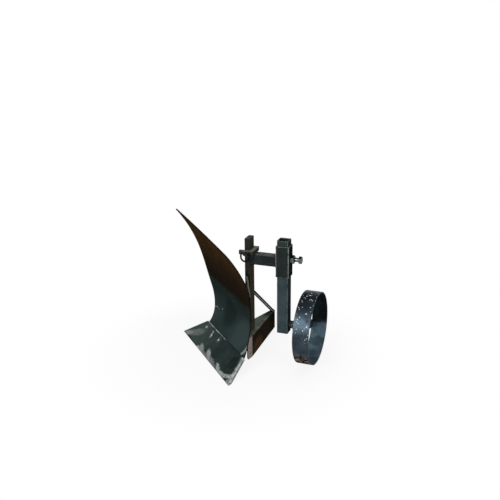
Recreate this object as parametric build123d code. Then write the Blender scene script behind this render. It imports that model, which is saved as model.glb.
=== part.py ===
from build123d import *
from math import asin, cos, radians, sin, sqrt, tan
import os

# Single-row mouldboard plough with a height-adjustable gauge wheel.
# Millimetres. X points to the land side, Y to the rear, Z up. The share and the wheel stand on Z = 0.
# Construction starts at the front end of the landside's outer face. The finished pieces are then moved
# so that the origin is the middle of the plough's footprint.

# Driving dimensions: share and mouldboard
SHARE_ANGLE = 45.0           # cutting edge to the direction of travel, in plan
SHARE_LIFT = 30.0            # slope of the share across its cutting edge
SHARE_EDGE = 371.0           # length of the cutting edge
SHARE_WIDTH = 79.0           # up the slope, cutting edge to seam
SHARE_THICKNESS = 6.0
NOSE_RUN = 54.0              # how far the nose end leans along the edge, tip to seam
WING_RUN = 41.0              # the same at the wing end
TIP_X = -2.0                 # share tip, from the landside's outer face
TIP_AHEAD = 174.0            # share tip, ahead of the landside's front end
BOARD_THICKNESS = 4.0
BOARD_SEAM_GAP = 0.3         # between the share's upper edge and the mouldboard
BOARD_REACH = 114.5          # deepest point of the mouldboard's hollow, from the cutting edge
BOARD_UPPER_RADIUS = 405.0   # roll of the upper part, which leans over the furrow
SHIN_X = 2.0                 # front edge of the mouldboard, proud of the landside
SHIN_TOP = 190.0             # where that edge turns away from the landside
SHIN_FLARE_TOP = 75.0        # below this height it runs out to the share's upper corner
TAIL_ALONG = 520.0           # tail tip, along the cutting edge from the share tip
TAIL_HEIGHT = 358.0
TAIL_RADIUS = 2.5
TOP_SHOULDER_ALONG = 204.0   # start of the straight top edge
TOP_SHOULDER_HEIGHT = 293.0
SHOULDER_RISE = 0.35         # share of the bend's height that it follows the shin
SHOULDER_RUN = 0.5           # share of the bend's length that it follows the top edge
WING_CORNER_ALONG = 322.0    # lower rear corner of the mouldboard, at the seam
WING_MID_ALONG = 392.0
WING_MID_HEIGHT = 100.0
WING_HIP_ALONG = 450.0
WING_HIP_HEIGHT = 165.0
WING_WAIST_ALONG = 476.0
WING_WAIST_HEIGHT = 255.0

# Driving dimensions: share bolts
SHARE_BOLT_ALONG = 207.0     # first bolt, along the cutting edge from the tip
SHARE_BOLT_PITCH = 99.0
SHARE_BOLT_UP = 62.0         # up the slope from the cutting edge
SHARE_BOLT_COUNT = 2
SHARE_BOLT_RADIUS = 5.0
SHARE_BOLT_HEAD_RADIUS = 9.8
SHARE_BOLT_HEAD_SUNK = 0.3
SHARE_NUT_FLATS = 17.0
SHARE_NUT_HEIGHT = 8.0
SHARE_BOLT_END = 3.0         # thread past the nut
BOLT_HOLE_CLEARANCE = 0.25
THREAD_CLEARANCE = 0.05

# Driving dimensions: landside, frog and stem
LANDSIDE_THICKNESS = 12.0
LANDSIDE_HEIGHT = 65.0       # at the toe, which stands on the ground
LANDSIDE_LENGTH = 199.0
HEEL_CLEARANCE = 6.0         # from the ground to the underside at the rear end
TOE_AHEAD = 22.0             # point of the landside, ahead of its outer face
TOE_INSET = 5.0              # the same point, inside the outer face
FROG_PLATE = 8.0
FROG_SEAT_START = 38.0       # up the slope, front edge of the share seat
FROG_SEAT_NOSE = 80.0        # along the cutting edge, nose end of the seat
FROG_SEAT_WING = 332.0
FROG_BASE_ANGLE = 17.75      # between the base plate's rear edge and the landside, in plan
FROG_BASE_END = 5.0          # base plate stops this far from the landside's rear end
RIB_THICKNESS = 8.0
RIB_ALONG = 142.0
RIB_PITCH = 48.0
RIB_COUNT = 2
STEM_WIDTH = 15.0
STEM_DEPTH = 35.0
STEM_TOP = 348.0
STEM_BOARD_GAP = 0.3
STEM_TOP_CHAMFER = 1.0
BRACE_RADIUS = 5.0
BRACE_TOP = 183.0
BRACE_FOOT_BACK = 7.5        # foot centre, ahead of the landside's rear end
STAY_RADIUS = 6.0
STAY_HEIGHT = 195.0
STAY_ALONG = 300.0           # where it meets the mouldboard

# Driving dimensions: hexagons of nuts and bolt heads
HEX_FACE_SHARE = 0.95        # round end face, of the width across flats
HEX_CHAMFER_ANGLE = 30.0     # between the end face and the turned chamfer

# Driving dimensions: wheel bracket
BEAM_SIZE = 30.0
BEAM_WALL = 3.0
BEAM_LENGTH = 75.0
BEAM_TOP = 303.0
TUBE_CORNER = 3.0
SLEEVE_WALL = 2.5
SLEEVE_TOP = 334.0
SLEEVE_LENGTH = 88.0
LEG_SIZE = 32.0
LEG_WALL = 3.0
LEG_CLEARANCE = 0.5
LEG_TOP = 350.0
LEG_BOTTOM = 78.0
SET_BOLT_RADIUS = 6.0
SET_BOLT_HEIGHT = 296.0
SET_BOLT_LENGTH = 27.0
SET_BOLT_HEAD_FLATS = 19.0
SET_BOLT_HEAD_HEIGHT = 7.5
SET_BOLT_HOLE_CLEARANCE = 0.75
SLEEVE_NUT_FLATS = 22.0
SLEEVE_NUT_HEIGHT = 11.0

# Driving dimensions: wheel and axle
WHEEL_RADIUS = 102.0
RIM_WIDTH = 45.0
RIM_THICKNESS = 4.0
RIM_FROM_LEG = 39.4          # leg's land-side face to the rim's near edge
SPOKE_COUNT = 4
SPOKE_TURN = -18.0           # first spoke above the horizontal, to the rear
SPOKE_WIDTH = 24.0
SPOKE_THICKNESS = 6.0
SPOKE_INSET = 1.0            # from the rim's near edge
HUB_RADIUS = 13.0
HUB_END_CLEARANCE = 0.3
AXLE_RADIUS = 6.0
AXLE_RUNNING_CLEARANCE = 0.05
AXLE_HOLE_CLEARANCE = 0.2
AXLE_NUT_FLATS = 19.0
AXLE_NUT_HEIGHT = 11.0
AXLE_END = 7.0               # axle past the outer washer
WASHER_RADIUS = 12.0
WASHER_THICKNESS = 2.5
SPLIT_PIN_RADIUS = 1.75
SPLIT_PIN_CLEARANCE = 0.15
SPLIT_PIN_EYE_RADIUS = 4.0
SPLIT_PIN_LEG = 9.0          # bent leg below the axle

# Driving dimensions: hitch yoke
YOKE_THICKNESS = 8.0
YOKE_WEB = 12.0              # closed side of the U
YOKE_HEIGHT = 12.0
YOKE_CLEARANCE = 0.5
YOKE_OVERHANG = 14.0         # legs past the stem's furrow-side face
YOKE_CORNER = 2.0
YOKE_PIN_RADIUS = 4.0
YOKE_PIN_CLEARANCE = 0.1
YOKE_PIN_HEAD_RADIUS = 6.5
YOKE_PIN_HEAD_HEIGHT = 3.5
YOKE_PIN_LUG = 9.0
YOKE_PIN_LUG_RADIUS = 5.5
YOKE_PIN_END = 4.0           # pin past the rear leg
RING_WIRE_RADIUS = 2.4
RING_WIDTH = 24.0            # between wire centres
RING_DROP = 22.0             # from the pin's cross hole to the lower wire centre
RING_TOP_CORNER = 5.0
RING_HOLE_CLEARANCE = 0.3

# Shared directions and places
tip = Vector(TIP_X, -TIP_AHEAD, 0)
along = Vector(-sin(radians(SHARE_ANGLE)), cos(radians(SHARE_ANGLE)), 0)
across = Vector(cos(radians(SHARE_ANGLE)), sin(radians(SHARE_ANGLE)), 0)
up = Vector(0, 0, 1)
lift = radians(SHARE_LIFT)
upslope = across * cos(lift) + up * sin(lift)
share_plane = Plane(origin=tip, x_dir=along, z_dir=along.cross(upslope))
seam_across = SHARE_WIDTH * cos(lift)
seam_height = SHARE_WIDTH * sin(lift)
share_corner_x = TIP_X + along.X * NOSE_RUN + across.X * seam_across
board_lower_radius = (BOARD_REACH - seam_across) / (1 - sin(lift))
board_waist = seam_height + board_lower_radius * cos(lift)
upper_centre = Vector(BOARD_REACH - BOARD_UPPER_RADIUS, board_waist)
lower_centre = Vector(BOARD_REACH - board_lower_radius, board_waist)
landside_top = LANDSIDE_HEIGHT
landside_inner = -LANDSIDE_THICKNESS
stem_right = landside_inner
stem_left = stem_right - STEM_WIDTH
board_back_reach = BOARD_REACH + BOARD_THICKNESS
stem_front = (board_back_reach + STEM_BOARD_GAP - across.X * (stem_left - TIP_X)) / across.Y - TIP_AHEAD
stem_rear = stem_front + STEM_DEPTH
bracket_y = (stem_front + stem_rear) / 2
sleeve_size = LEG_SIZE + 2 * (LEG_CLEARANCE + SLEEVE_WALL)
sleeve_left = stem_right + BEAM_LENGTH
leg_x = sleeve_left + sleeve_size / 2
leg_right = leg_x + LEG_SIZE / 2
leg_left = leg_x - LEG_SIZE / 2
sleeve_right = sleeve_left + sleeve_size
rim_left = leg_right + RIM_FROM_LEG
rim_inner = WHEEL_RADIUS - RIM_THICKNESS
spoke_left = rim_left + SPOKE_INSET
hub_left = leg_right + AXLE_NUT_HEIGHT + WASHER_THICKNESS + HUB_END_CLEARANCE
hub_right = spoke_left + SPOKE_THICKNESS
outer_washer = hub_right + HUB_END_CLEARANCE
axle_end = outer_washer + WASHER_THICKNESS + AXLE_END
split_pin_x = outer_washer + WASHER_THICKNESS + AXLE_END / 2
yoke_bottom = BEAM_TOP
yoke_middle = yoke_bottom + YOKE_HEIGHT / 2
yoke_front = stem_front - YOKE_CLEARANCE - YOKE_THICKNESS
yoke_rear = stem_rear + YOKE_CLEARANCE + YOKE_THICKNESS
yoke_pin_x = (stem_left + stem_right) / 2
ring_y = yoke_front - YOKE_PIN_HEAD_HEIGHT - YOKE_PIN_LUG / 2


def block(low, high):
    """A box between two opposite corners."""
    size = [b - a for a, b in zip(low, high)]
    centre = [(a + b) / 2 for a, b in zip(low, high)]
    return Pos(*centre) * Box(*size)


def rod(start, direction, radius, length):
    """A round bar from a start point along a direction."""
    return Plane(origin=start, z_dir=direction) * extrude(Circle(radius), length)


def chamfered_hexagon(flats, height, turn=0):
    """A hexagonal prism standing on the origin, with the corners of its top face turned off."""
    outline = RegularPolygon(flats / 2, 6, major_radius=False, rotation=turn)
    face = HEX_FACE_SHARE * flats / 2
    turned = Pos(0, 0, height / 2) * Cone(face + height / tan(radians(HEX_CHAMFER_ANGLE)), face, height)
    return extrude(outline, height) & turned


def hexagon(start, direction, flats, height, turn=0):
    """A chamfered hexagon from a start point along a direction, turned about it."""
    return Plane(origin=start, z_dir=direction) * chamfered_hexagon(flats, height, turn)


def place(s, n, z):
    """A point from its distance along the cutting edge, across it and above the ground."""
    return tip + along * s + across * n + up * z


def square_tube(size, wall, length):
    """A square tube along Z with rounded outer corners, centred on the origin."""
    outer = RectangleRounded(size, size, TUBE_CORNER)
    inner = Rectangle(size - 2 * wall, size - 2 * wall)
    return extrude(outer - inner, length / 2, both=True)


def board_roll(front_offset, back_offset, depth):
    """The rolled sheet, between two offsets behind its face, along the cutting edge for a depth."""
    start = lift + BOARD_SEAM_GAP / board_lower_radius
    roll_over = asin((TAIL_HEIGHT + BOARD_THICKNESS - board_waist) / (BOARD_UPPER_RADIUS - BOARD_THICKNESS))

    def lower(offset, angle):
        radius = board_lower_radius + offset
        return lower_centre + Vector(sin(angle), -cos(angle)) * radius

    def upper(offset, angle):
        radius = BOARD_UPPER_RADIUS + offset
        return upper_centre + Vector(cos(angle), sin(angle)) * radius

    def face_edges(offset):
        waist = Vector(BOARD_REACH + offset, board_waist)
        mid_lower = lower(offset, (start + radians(90)) / 2)
        mid_upper = upper(offset, roll_over / 2)
        lower_arc = ThreePointArc(lower(offset, start), mid_lower, waist)
        return lower_arc, ThreePointArc(waist, mid_upper, upper(offset, roll_over))

    front = face_edges(front_offset)
    back = face_edges(back_offset)
    foot = Line(front[0] @ 0, back[0] @ 0)
    head = Line(front[1] @ 1, back[1] @ 1)
    profile = make_face([*front, *back, foot, head])
    section = Plane(origin=tip, x_dir=across, z_dir=-along)
    return section * extrude(profile, -depth)


def shin_along(z):
    """Where the shin edge lies along the cutting edge at a height above the waist."""
    reach = upper_centre.X + sqrt(BOARD_UPPER_RADIUS**2 - (z - board_waist)**2)
    return (reach * across.X + TIP_X - SHIN_X) / -along.X


def make_share():
    """Flat share with a bevel ground flat on the sole and countersunk bolt holes."""
    blank = Polygon((0, 0), (SHARE_EDGE, 0), (SHARE_EDGE - WING_RUN, SHARE_WIDTH), (NOSE_RUN, SHARE_WIDTH),
                    align=None)
    plate = share_plane * extrude(blank, SHARE_THICKNESS)
    plate -= block((-2 * SHARE_EDGE, -2 * SHARE_EDGE, -SHARE_EDGE), (2 * SHARE_EDGE, 2 * SHARE_EDGE, 0))
    for spot in share_bolt_spots():
        hole = Cylinder(SHARE_BOLT_RADIUS + BOLT_HOLE_CLEARANCE, 4 * SHARE_THICKNESS)
        mouth = SHARE_BOLT_HEAD_RADIUS + SHARE_BOLT_HEAD_SUNK + BOLT_HOLE_CLEARANCE
        sink = Pos(0, 0, mouth / 2) * Cone(mouth, 0, mouth)
        plate -= share_plane * Pos(*spot, 0) * (hole + sink)
    return plate


def share_bolt_spots():
    """Bolt centres on the share's face."""
    return [(SHARE_BOLT_ALONG + i * SHARE_BOLT_PITCH, SHARE_BOLT_UP) for i in range(SHARE_BOLT_COUNT)]


def make_share_bolt(spot):
    """Flush-headed plough bolt."""
    grip = SHARE_THICKNESS + FROG_PLATE + SHARE_NUT_HEIGHT + SHARE_BOLT_END
    shank = Pos(0, 0, SHARE_BOLT_HEAD_SUNK) * extrude(Circle(SHARE_BOLT_RADIUS), grip - SHARE_BOLT_HEAD_SUNK)
    cone_height = SHARE_BOLT_HEAD_RADIUS - SHARE_BOLT_RADIUS
    head = Pos(0, 0, SHARE_BOLT_HEAD_SUNK + cone_height / 2) * Cone(
        SHARE_BOLT_HEAD_RADIUS, SHARE_BOLT_RADIUS, cone_height)
    return share_plane * Pos(*spot, 0) * (shank + head)


def make_share_nut(spot):
    """Hexagon nut under the share seat."""
    nut = chamfered_hexagon(SHARE_NUT_FLATS, SHARE_NUT_HEIGHT)
    nut -= Cylinder(SHARE_BOLT_RADIUS + THREAD_CLEARANCE, 4 * SHARE_NUT_HEIGHT)
    return share_plane * Pos(*spot, SHARE_THICKNESS + FROG_PLATE) * nut


def make_mouldboard():
    """Rolled mouldboard trimmed to its shin, top edge, tail and wing."""
    sheet = board_roll(0, BOARD_THICKNESS, TAIL_ALONG + BOARD_UPPER_RADIUS)
    foot_height = seam_height - BOARD_THICKNESS
    turn = (shin_along(SHIN_TOP), SHIN_TOP)
    rolled = asin((SHIN_TOP - board_waist) / BOARD_UPPER_RADIUS)
    lean = tan(rolled) * across.X / along.X * (TOP_SHOULDER_HEIGHT - SHIN_TOP)
    top_slope = (TAIL_HEIGHT - TOP_SHOULDER_HEIGHT) / (TAIL_ALONG - TOP_SHOULDER_ALONG)
    shoulder = (TOP_SHOULDER_ALONG, TOP_SHOULDER_HEIGHT)
    shoulder_run = SHOULDER_RUN * (TOP_SHOULDER_ALONG - turn[0])
    rise = SHOULDER_RISE * (TOP_SHOULDER_HEIGHT - SHIN_TOP)
    bend = Bezier(
        turn,
        (turn[0] + SHOULDER_RISE * lean, SHIN_TOP + rise),
        (shoulder[0] - shoulder_run, shoulder[1] - shoulder_run * top_slope),
        shoulder)
    tail = (TAIL_ALONG, TAIL_HEIGHT)
    wing_foot = (WING_CORNER_ALONG - BOARD_THICKNESS, foot_height)
    top = Line(shoulder, tail)
    wing = Spline(
        tail,
        (WING_WAIST_ALONG, WING_WAIST_HEIGHT),
        (WING_HIP_ALONG, WING_HIP_HEIGHT),
        (WING_MID_ALONG, WING_MID_HEIGHT),
        (WING_CORNER_ALONG, seam_height),
        wing_foot)
    foot = Polyline(wing_foot, (0, foot_height), (0, board_waist), turn)
    outline = make_face([bend, top, wing, *foot.edges()])
    tail_corner = outline.vertices().sort_by_distance((*tail, 0))[0]
    outline = fillet(tail_corner, TAIL_RADIUS)
    trim_plane = Plane(origin=tip, x_dir=along, z_dir=across)
    reach = 2 * BOARD_UPPER_RADIUS
    sheet &= trim_plane * extrude(outline, reach, both=True)
    land_side = Polygon((SHIN_X, reach), (SHIN_X, SHIN_FLARE_TOP), (share_corner_x, seam_height),
                        (share_corner_x, -reach), (reach, -reach), (reach, reach), align=None)
    return sheet - Plane.XZ * extrude(land_side, reach, both=True)


def board_and_front():
    """Everything ahead of the mouldboard's back, for trimming what butts against it."""
    return board_roll(-board_lower_radius / 2, BOARD_THICKNESS, TAIL_ALONG)


def make_frog_seat():
    """Sloping plate that carries the share, run back under the base plate."""
    rear = 2 * SHARE_WIDTH
    blank = Polygon((FROG_SEAT_NOSE, FROG_SEAT_START), (FROG_SEAT_WING, FROG_SEAT_START),
                    (FROG_SEAT_WING - WING_RUN, rear), (FROG_SEAT_NOSE, rear), align=None)
    seat = share_plane.offset(SHARE_THICKNESS) * extrude(blank, FROG_PLATE)
    far = 4 * SHARE_EDGE
    seat -= block((-far, -far, landside_top - FROG_PLATE), (far, far, far))
    seat -= block((landside_inner, -far, -far), (far, far, far))
    for spot in share_bolt_spots():
        hole = Cylinder(SHARE_BOLT_RADIUS + BOLT_HOLE_CLEARANCE, 8 * FROG_PLATE)
        seat -= share_plane * Pos(*spot, SHARE_THICKNESS) * hole
    return seat


def base_front_across():
    """Across-edge distance of the mouldboard's back at the top of the base plate."""
    fall = board_waist - landside_top
    return lower_centre.X + sqrt((board_lower_radius + BOARD_THICKNESS)**2 - fall**2)


def make_frog_base():
    """Triangular base plate between the landside and the mouldboard."""
    front_sum = base_front_across() / across.X + TIP_X - TIP_AHEAD
    rear_y = LANDSIDE_LENGTH - FROG_BASE_END
    front_y = front_sum - landside_inner
    taper = tan(radians(FROG_BASE_ANGLE))
    corner_y = (front_y + taper * rear_y) / (1 + taper)
    corner = (front_sum - corner_y, corner_y)
    triangle = Polygon((landside_inner, front_y), (landside_inner, rear_y), corner, align=None)
    return Pos(0, 0, landside_top - FROG_PLATE) * extrude(triangle, FROG_PLATE)


def make_frog_rib(s):
    """Wedge between the share seat, the mouldboard's back and the base plate."""
    roof = landside_top - FROG_PLATE
    seat_start = SHARE_THICKNESS / cos(lift)
    rear = (roof + seat_start) / tan(lift)
    front = seam_across + BOARD_THICKNESS
    wedge = Polygon((front, front * tan(lift) - seat_start), (rear, roof), (front, roof), align=None)
    section = Plane(origin=place(s - RIB_THICKNESS / 2, 0, 0), x_dir=across, z_dir=-along)
    return section * extrude(wedge, -RIB_THICKNESS) - board_and_front()


def make_landside():
    """Landside bar with a pointed toe and an underside that rises to the heel."""
    mitre = LANDSIDE_THICKNESS / tan(radians(SHARE_ANGLE))
    plan = Polygon((0, 0), (0, LANDSIDE_LENGTH), (-LANDSIDE_THICKNESS, LANDSIDE_LENGTH),
                   (-LANDSIDE_THICKNESS, -mitre), (-TOE_INSET, -TOE_AHEAD), align=None)
    relief = Polygon((-TOE_AHEAD, 0), (LANDSIDE_LENGTH, 0), (LANDSIDE_LENGTH, HEEL_CLEARANCE), align=None)
    return extrude(plan, LANDSIDE_HEIGHT) - Plane.YZ * extrude(relief, 2 * LANDSIDE_THICKNESS, both=True)


def make_stem():
    """Upright flat bar standing on the base plate, drilled for the yoke pin."""
    stem = block((stem_left, stem_front, landside_top), (stem_right, stem_rear, STEM_TOP))
    stem = chamfer(stem.faces().sort_by(Axis.Z)[-1].edges(), STEM_TOP_CHAMFER)
    return stem - yoke_pin_hole()


def yoke_pin_hole():
    """The bore for the yoke pin, from the yoke's front face to its rear face."""
    start = Vector(yoke_pin_x, yoke_front, yoke_middle)
    return rod(start, (0, 1, 0), YOKE_PIN_RADIUS + YOKE_PIN_CLEARANCE, yoke_rear - yoke_front)


def make_brace_rod():
    """Round brace from the stem's rear face to the top of the landside's rear end."""
    head = Vector((stem_left + stem_right) / 2, stem_rear, BRACE_TOP)
    foot = Vector(-LANDSIDE_THICKNESS / 2, LANDSIDE_LENGTH - BRACE_FOOT_BACK, landside_top)
    run = foot - head
    spare = run.normalized() * (6 * BRACE_RADIUS)
    bar = rod(head - spare, run, BRACE_RADIUS, run.length + 2 * spare.length)
    far = 4 * LANDSIDE_LENGTH
    bar -= block((-far, -far, -far), (far, stem_rear, far))
    return bar - block((-far, -far, -far), (far, far, landside_top))


def make_stay():
    """Round stay from the stem's furrow-side face to the back of the mouldboard."""
    start = Vector(stem_left, bracket_y, STAY_HEIGHT)
    goal = place(STAY_ALONG, BOARD_REACH, STAY_HEIGHT)
    run = goal - start
    spare = run.normalized() * (4 * STAY_RADIUS)
    bar = rod(start - spare, run, STAY_RADIUS, run.length + 2 * spare.length)
    far = 4 * BOARD_UPPER_RADIUS
    bar -= block((stem_left, -far, -far), (far, far, far))
    return bar - board_and_front()


def make_beam():
    """Square tube from the stem to the sleeve."""
    tube = square_tube(BEAM_SIZE, BEAM_WALL, BEAM_LENGTH)
    return Pos(stem_right + BEAM_LENGTH / 2, bracket_y, BEAM_TOP - BEAM_SIZE / 2) * Rot(0, 90, 0) * tube


def make_sleeve():
    """Square sleeve that the wheel leg slides in."""
    centre = Pos(leg_x, bracket_y, SLEEVE_TOP - SLEEVE_LENGTH / 2)
    tube = centre * square_tube(sleeve_size, SLEEVE_WALL, SLEEVE_LENGTH)
    start = Vector(leg_x, bracket_y, SET_BOLT_HEIGHT)
    return tube - rod(start, (1, 0, 0), SET_BOLT_RADIUS + SET_BOLT_HOLE_CLEARANCE, sleeve_size)


def make_sleeve_nut():
    """Nut welded to the sleeve's land-side face."""
    start = Vector(sleeve_right, bracket_y, SET_BOLT_HEIGHT)
    nut = hexagon(start, (1, 0, 0), SLEEVE_NUT_FLATS, SLEEVE_NUT_HEIGHT)
    return nut - rod(start, (1, 0, 0), SET_BOLT_RADIUS + THREAD_CLEARANCE, SLEEVE_NUT_HEIGHT)


def make_set_bolt():
    """Set bolt whose flat point bears on the leg."""
    start = Vector(leg_right, bracket_y, SET_BOLT_HEIGHT)
    shank = rod(start, (1, 0, 0), SET_BOLT_RADIUS, SET_BOLT_LENGTH)
    head = start + Vector(SET_BOLT_LENGTH, 0, 0)
    return shank + hexagon(head, (1, 0, 0), SET_BOLT_HEAD_FLATS, SET_BOLT_HEAD_HEIGHT)


def make_leg():
    """Square wheel leg, open at both ends and drilled for the axle."""
    tube = square_tube(LEG_SIZE, LEG_WALL, LEG_TOP - LEG_BOTTOM)
    tube = Pos(leg_x, bracket_y, (LEG_TOP + LEG_BOTTOM) / 2) * tube
    start = Vector(leg_x - LEG_SIZE, bracket_y, WHEEL_RADIUS)
    return tube - rod(start, (1, 0, 0), AXLE_RADIUS + AXLE_HOLE_CLEARANCE, 2 * LEG_SIZE)


def make_axle():
    """Axle stud, flush with the leg's furrow-side face, with a cross hole for the split pin."""
    start = Vector(leg_left, bracket_y, WHEEL_RADIUS)
    stud = rod(start, (1, 0, 0), AXLE_RADIUS, axle_end - leg_left)
    cross = Vector(split_pin_x, bracket_y, WHEEL_RADIUS - 2 * AXLE_RADIUS)
    return stud - rod(cross, up, SPLIT_PIN_RADIUS + SPLIT_PIN_CLEARANCE, 4 * AXLE_RADIUS)


def make_axle_nut():
    """Nut that clamps the axle to the leg."""
    start = Vector(leg_right, bracket_y, WHEEL_RADIUS)
    nut = hexagon(start, (1, 0, 0), AXLE_NUT_FLATS, AXLE_NUT_HEIGHT, turn=30)
    return nut - rod(start, (1, 0, 0), AXLE_RADIUS + THREAD_CLEARANCE, AXLE_NUT_HEIGHT)


def make_washer(x):
    """Thrust washer on the axle."""
    ring = Circle(WASHER_RADIUS) - Circle(AXLE_RADIUS + AXLE_HOLE_CLEARANCE)
    return Plane(origin=(x, bracket_y, WHEEL_RADIUS), z_dir=(1, 0, 0)) * extrude(ring, WASHER_THICKNESS)


def make_split_pin():
    """Split pin through the axle end: an eye above it and a bent leg below."""
    top = AXLE_RADIUS + SPLIT_PIN_EYE_RADIUS
    knee = -AXLE_RADIUS - 2 * SPLIT_PIN_RADIUS
    bend = 2 * SPLIT_PIN_RADIUS
    path = FilletPolyline((0, 0, top), (0, 0, knee), (0, SPLIT_PIN_LEG, knee), radius=bend)
    wire = sweep(Plane(origin=(0, 0, top), z_dir=(0, 0, -1)) * Circle(SPLIT_PIN_RADIUS), path=path)
    eye = Pos(0, 0, top + SPLIT_PIN_EYE_RADIUS - SPLIT_PIN_RADIUS) * Rot(0, 90, 0) * Torus(
        SPLIT_PIN_EYE_RADIUS, SPLIT_PIN_RADIUS)
    return Pos(split_pin_x, bracket_y, WHEEL_RADIUS) * (wire + eye)


def make_hub():
    """Plain-bored hub."""
    ring = Circle(HUB_RADIUS) - Circle(AXLE_RADIUS + AXLE_RUNNING_CLEARANCE)
    start = Plane(origin=(hub_left, bracket_y, WHEEL_RADIUS), z_dir=(1, 0, 0))
    return start * extrude(ring, hub_right - hub_left)


def make_spoke(index):
    """Flat spoke between the hub and the rim."""
    bar = Rectangle(2 * rim_inner, SPOKE_WIDTH, align=(Align.MIN, Align.CENTER))
    bar = Rot(0, 0, SPOKE_TURN + index * 360 / SPOKE_COUNT) * bar
    ring = Circle(rim_inner) - Circle(HUB_RADIUS)
    start = Plane(origin=(spoke_left, bracket_y, WHEEL_RADIUS), x_dir=(0, 1, 0), z_dir=(1, 0, 0))
    return start * extrude(bar & ring, SPOKE_THICKNESS)


def make_rim():
    """Plain steel band."""
    ring = Circle(WHEEL_RADIUS) - Circle(rim_inner)
    return Plane(origin=(rim_left, bracket_y, WHEEL_RADIUS), z_dir=(1, 0, 0)) * extrude(ring, RIM_WIDTH)


def make_yoke():
    """U-shaped strap round the stem, resting on the beam and pinned to the stem."""
    outer_right = stem_right + YOKE_CLEARANCE + YOKE_WEB
    end = stem_left - YOKE_OVERHANG
    strap = block((end, yoke_front, yoke_bottom), (outer_right, yoke_rear, yoke_bottom + YOKE_HEIGHT))
    corners = strap.edges().filter_by(Axis.Z).group_by(Axis.X)[-1]
    strap = fillet(corners, YOKE_CORNER)
    slot_low = (end - YOKE_OVERHANG, stem_front - YOKE_CLEARANCE, 0)
    slot_high = (stem_right + YOKE_CLEARANCE, stem_rear + YOKE_CLEARANCE, 2 * STEM_TOP)
    strap -= block(slot_low, slot_high)
    return strap - yoke_pin_hole()


def make_yoke_pin():
    """Headed pin through the yoke and the stem, with a cross-drilled lug in front for the ring."""
    start = Vector(yoke_pin_x, yoke_front, yoke_middle)
    pin = rod(start, (0, 1, 0), YOKE_PIN_RADIUS, yoke_rear + YOKE_PIN_END - yoke_front)
    pin += rod(start, (0, -1, 0), YOKE_PIN_HEAD_RADIUS, YOKE_PIN_HEAD_HEIGHT)
    pin += rod(start, (0, -1, 0), YOKE_PIN_LUG_RADIUS, YOKE_PIN_HEAD_HEIGHT + YOKE_PIN_LUG)
    cross = Vector(yoke_pin_x - 2 * YOKE_PIN_LUG_RADIUS, ring_y, yoke_middle)
    return pin - rod(cross, (1, 0, 0), RING_WIRE_RADIUS + RING_HOLE_CLEARANCE, 4 * YOKE_PIN_LUG_RADIUS)


def make_pull_ring():
    """Wire D-ring hung in the pin's cross hole."""
    half = RING_WIDTH / 2
    straight = half - RING_TOP_CORNER
    side = RING_DROP - half
    top = Line((-straight, 0), (straight, 0))
    right_corner = CenterArc((straight, -RING_TOP_CORNER), RING_TOP_CORNER, 0, 90)
    left_corner = CenterArc((-straight, -RING_TOP_CORNER), RING_TOP_CORNER, 90, 90)
    right_side = Line((half, -RING_TOP_CORNER), (half, -side))
    left_side = Line((-half, -RING_TOP_CORNER), (-half, -side))
    bow = CenterArc((0, -side), half, 180, 180)
    loop = Wire([top, right_corner, right_side, bow, left_side, left_corner])
    section = Plane(origin=(0, 0, 0), z_dir=(1, 0, 0)) * Circle(RING_WIRE_RADIUS)
    ring = sweep(section, path=loop)
    return Plane(origin=(yoke_pin_x, ring_y, yoke_middle), x_dir=(1, 0, 0), z_dir=(0, -1, 0)) * ring


def build():
    """Every piece in the construction frame, by node name."""
    bolts = share_bolt_spots()
    ribs = [make_frog_rib(RIB_ALONG + i * RIB_PITCH) for i in range(RIB_COUNT)]
    washers = [make_washer(leg_right + AXLE_NUT_HEIGHT), make_washer(outer_washer)]
    return {
        "share": make_share(),
        "share_bolts": Compound([make_share_bolt(spot) for spot in bolts]),
        "share_nuts": Compound([make_share_nut(spot) for spot in bolts]),
        "mouldboard": make_mouldboard(),
        "frog_seat": make_frog_seat(),
        "frog_base": make_frog_base(),
        "frog_ribs": Compound(ribs),
        "landside": make_landside(),
        "stem": make_stem(),
        "brace_rod": make_brace_rod(),
        "mouldboard_stay": make_stay(),
        "beam_tube": make_beam(),
        "sleeve_tube": make_sleeve(),
        "sleeve_nut": make_sleeve_nut(),
        "set_bolt": make_set_bolt(),
        "leg_tube": make_leg(),
        "axle_stud": make_axle(),
        "axle_nut": make_axle_nut(),
        "thrust_washers": Compound(washers),
        "split_pin": make_split_pin(),
        "wheel_hub": make_hub(),
        "wheel_spokes": Compound([make_spoke(i) for i in range(SPOKE_COUNT)]),
        "wheel_rim": make_rim(),
        "yoke_strap": make_yoke(),
        "yoke_pin": make_yoke_pin(),
        "pull_ring": make_pull_ring(),
    }


pieces = build()
footprint = Compound(list(pieces.values())).bounding_box()
origin_shift = Pos(-footprint.center().X, -footprint.center().Y, -footprint.min.Z)
os.makedirs("parts", exist_ok=True)
for name, piece in pieces.items():
    export_step(origin_shift * piece, f"parts/{name}.step")

landmarks = {
    "box size": footprint.size,
    "wheel axis": Vector(rim_left + RIM_WIDTH / 2, bracket_y, WHEEL_RADIUS),
    "stem top": Vector((stem_left + stem_right) / 2, bracket_y, STEM_TOP),
    "set bolt point": Vector(leg_right, bracket_y, SET_BOLT_HEIGHT),
    "yoke pin": Vector(yoke_pin_x, yoke_front, yoke_middle),
    "ring hinge": Vector(yoke_pin_x, ring_y, yoke_middle),
    "share tip": tip,
}
for label, point in landmarks.items():
    moved = point if label == "box size" else point + origin_shift.position
    print(f"{label}: {moved.X:.3f} {moved.Y:.3f} {moved.Z:.3f}")
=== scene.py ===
import logging
import math
import random
from dataclasses import dataclass
from enum import Enum
from functools import reduce

import bmesh
import bpy
from bmesh.types import BMEdge, BMesh, BMVert
from mathutils import Matrix, Vector


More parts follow.
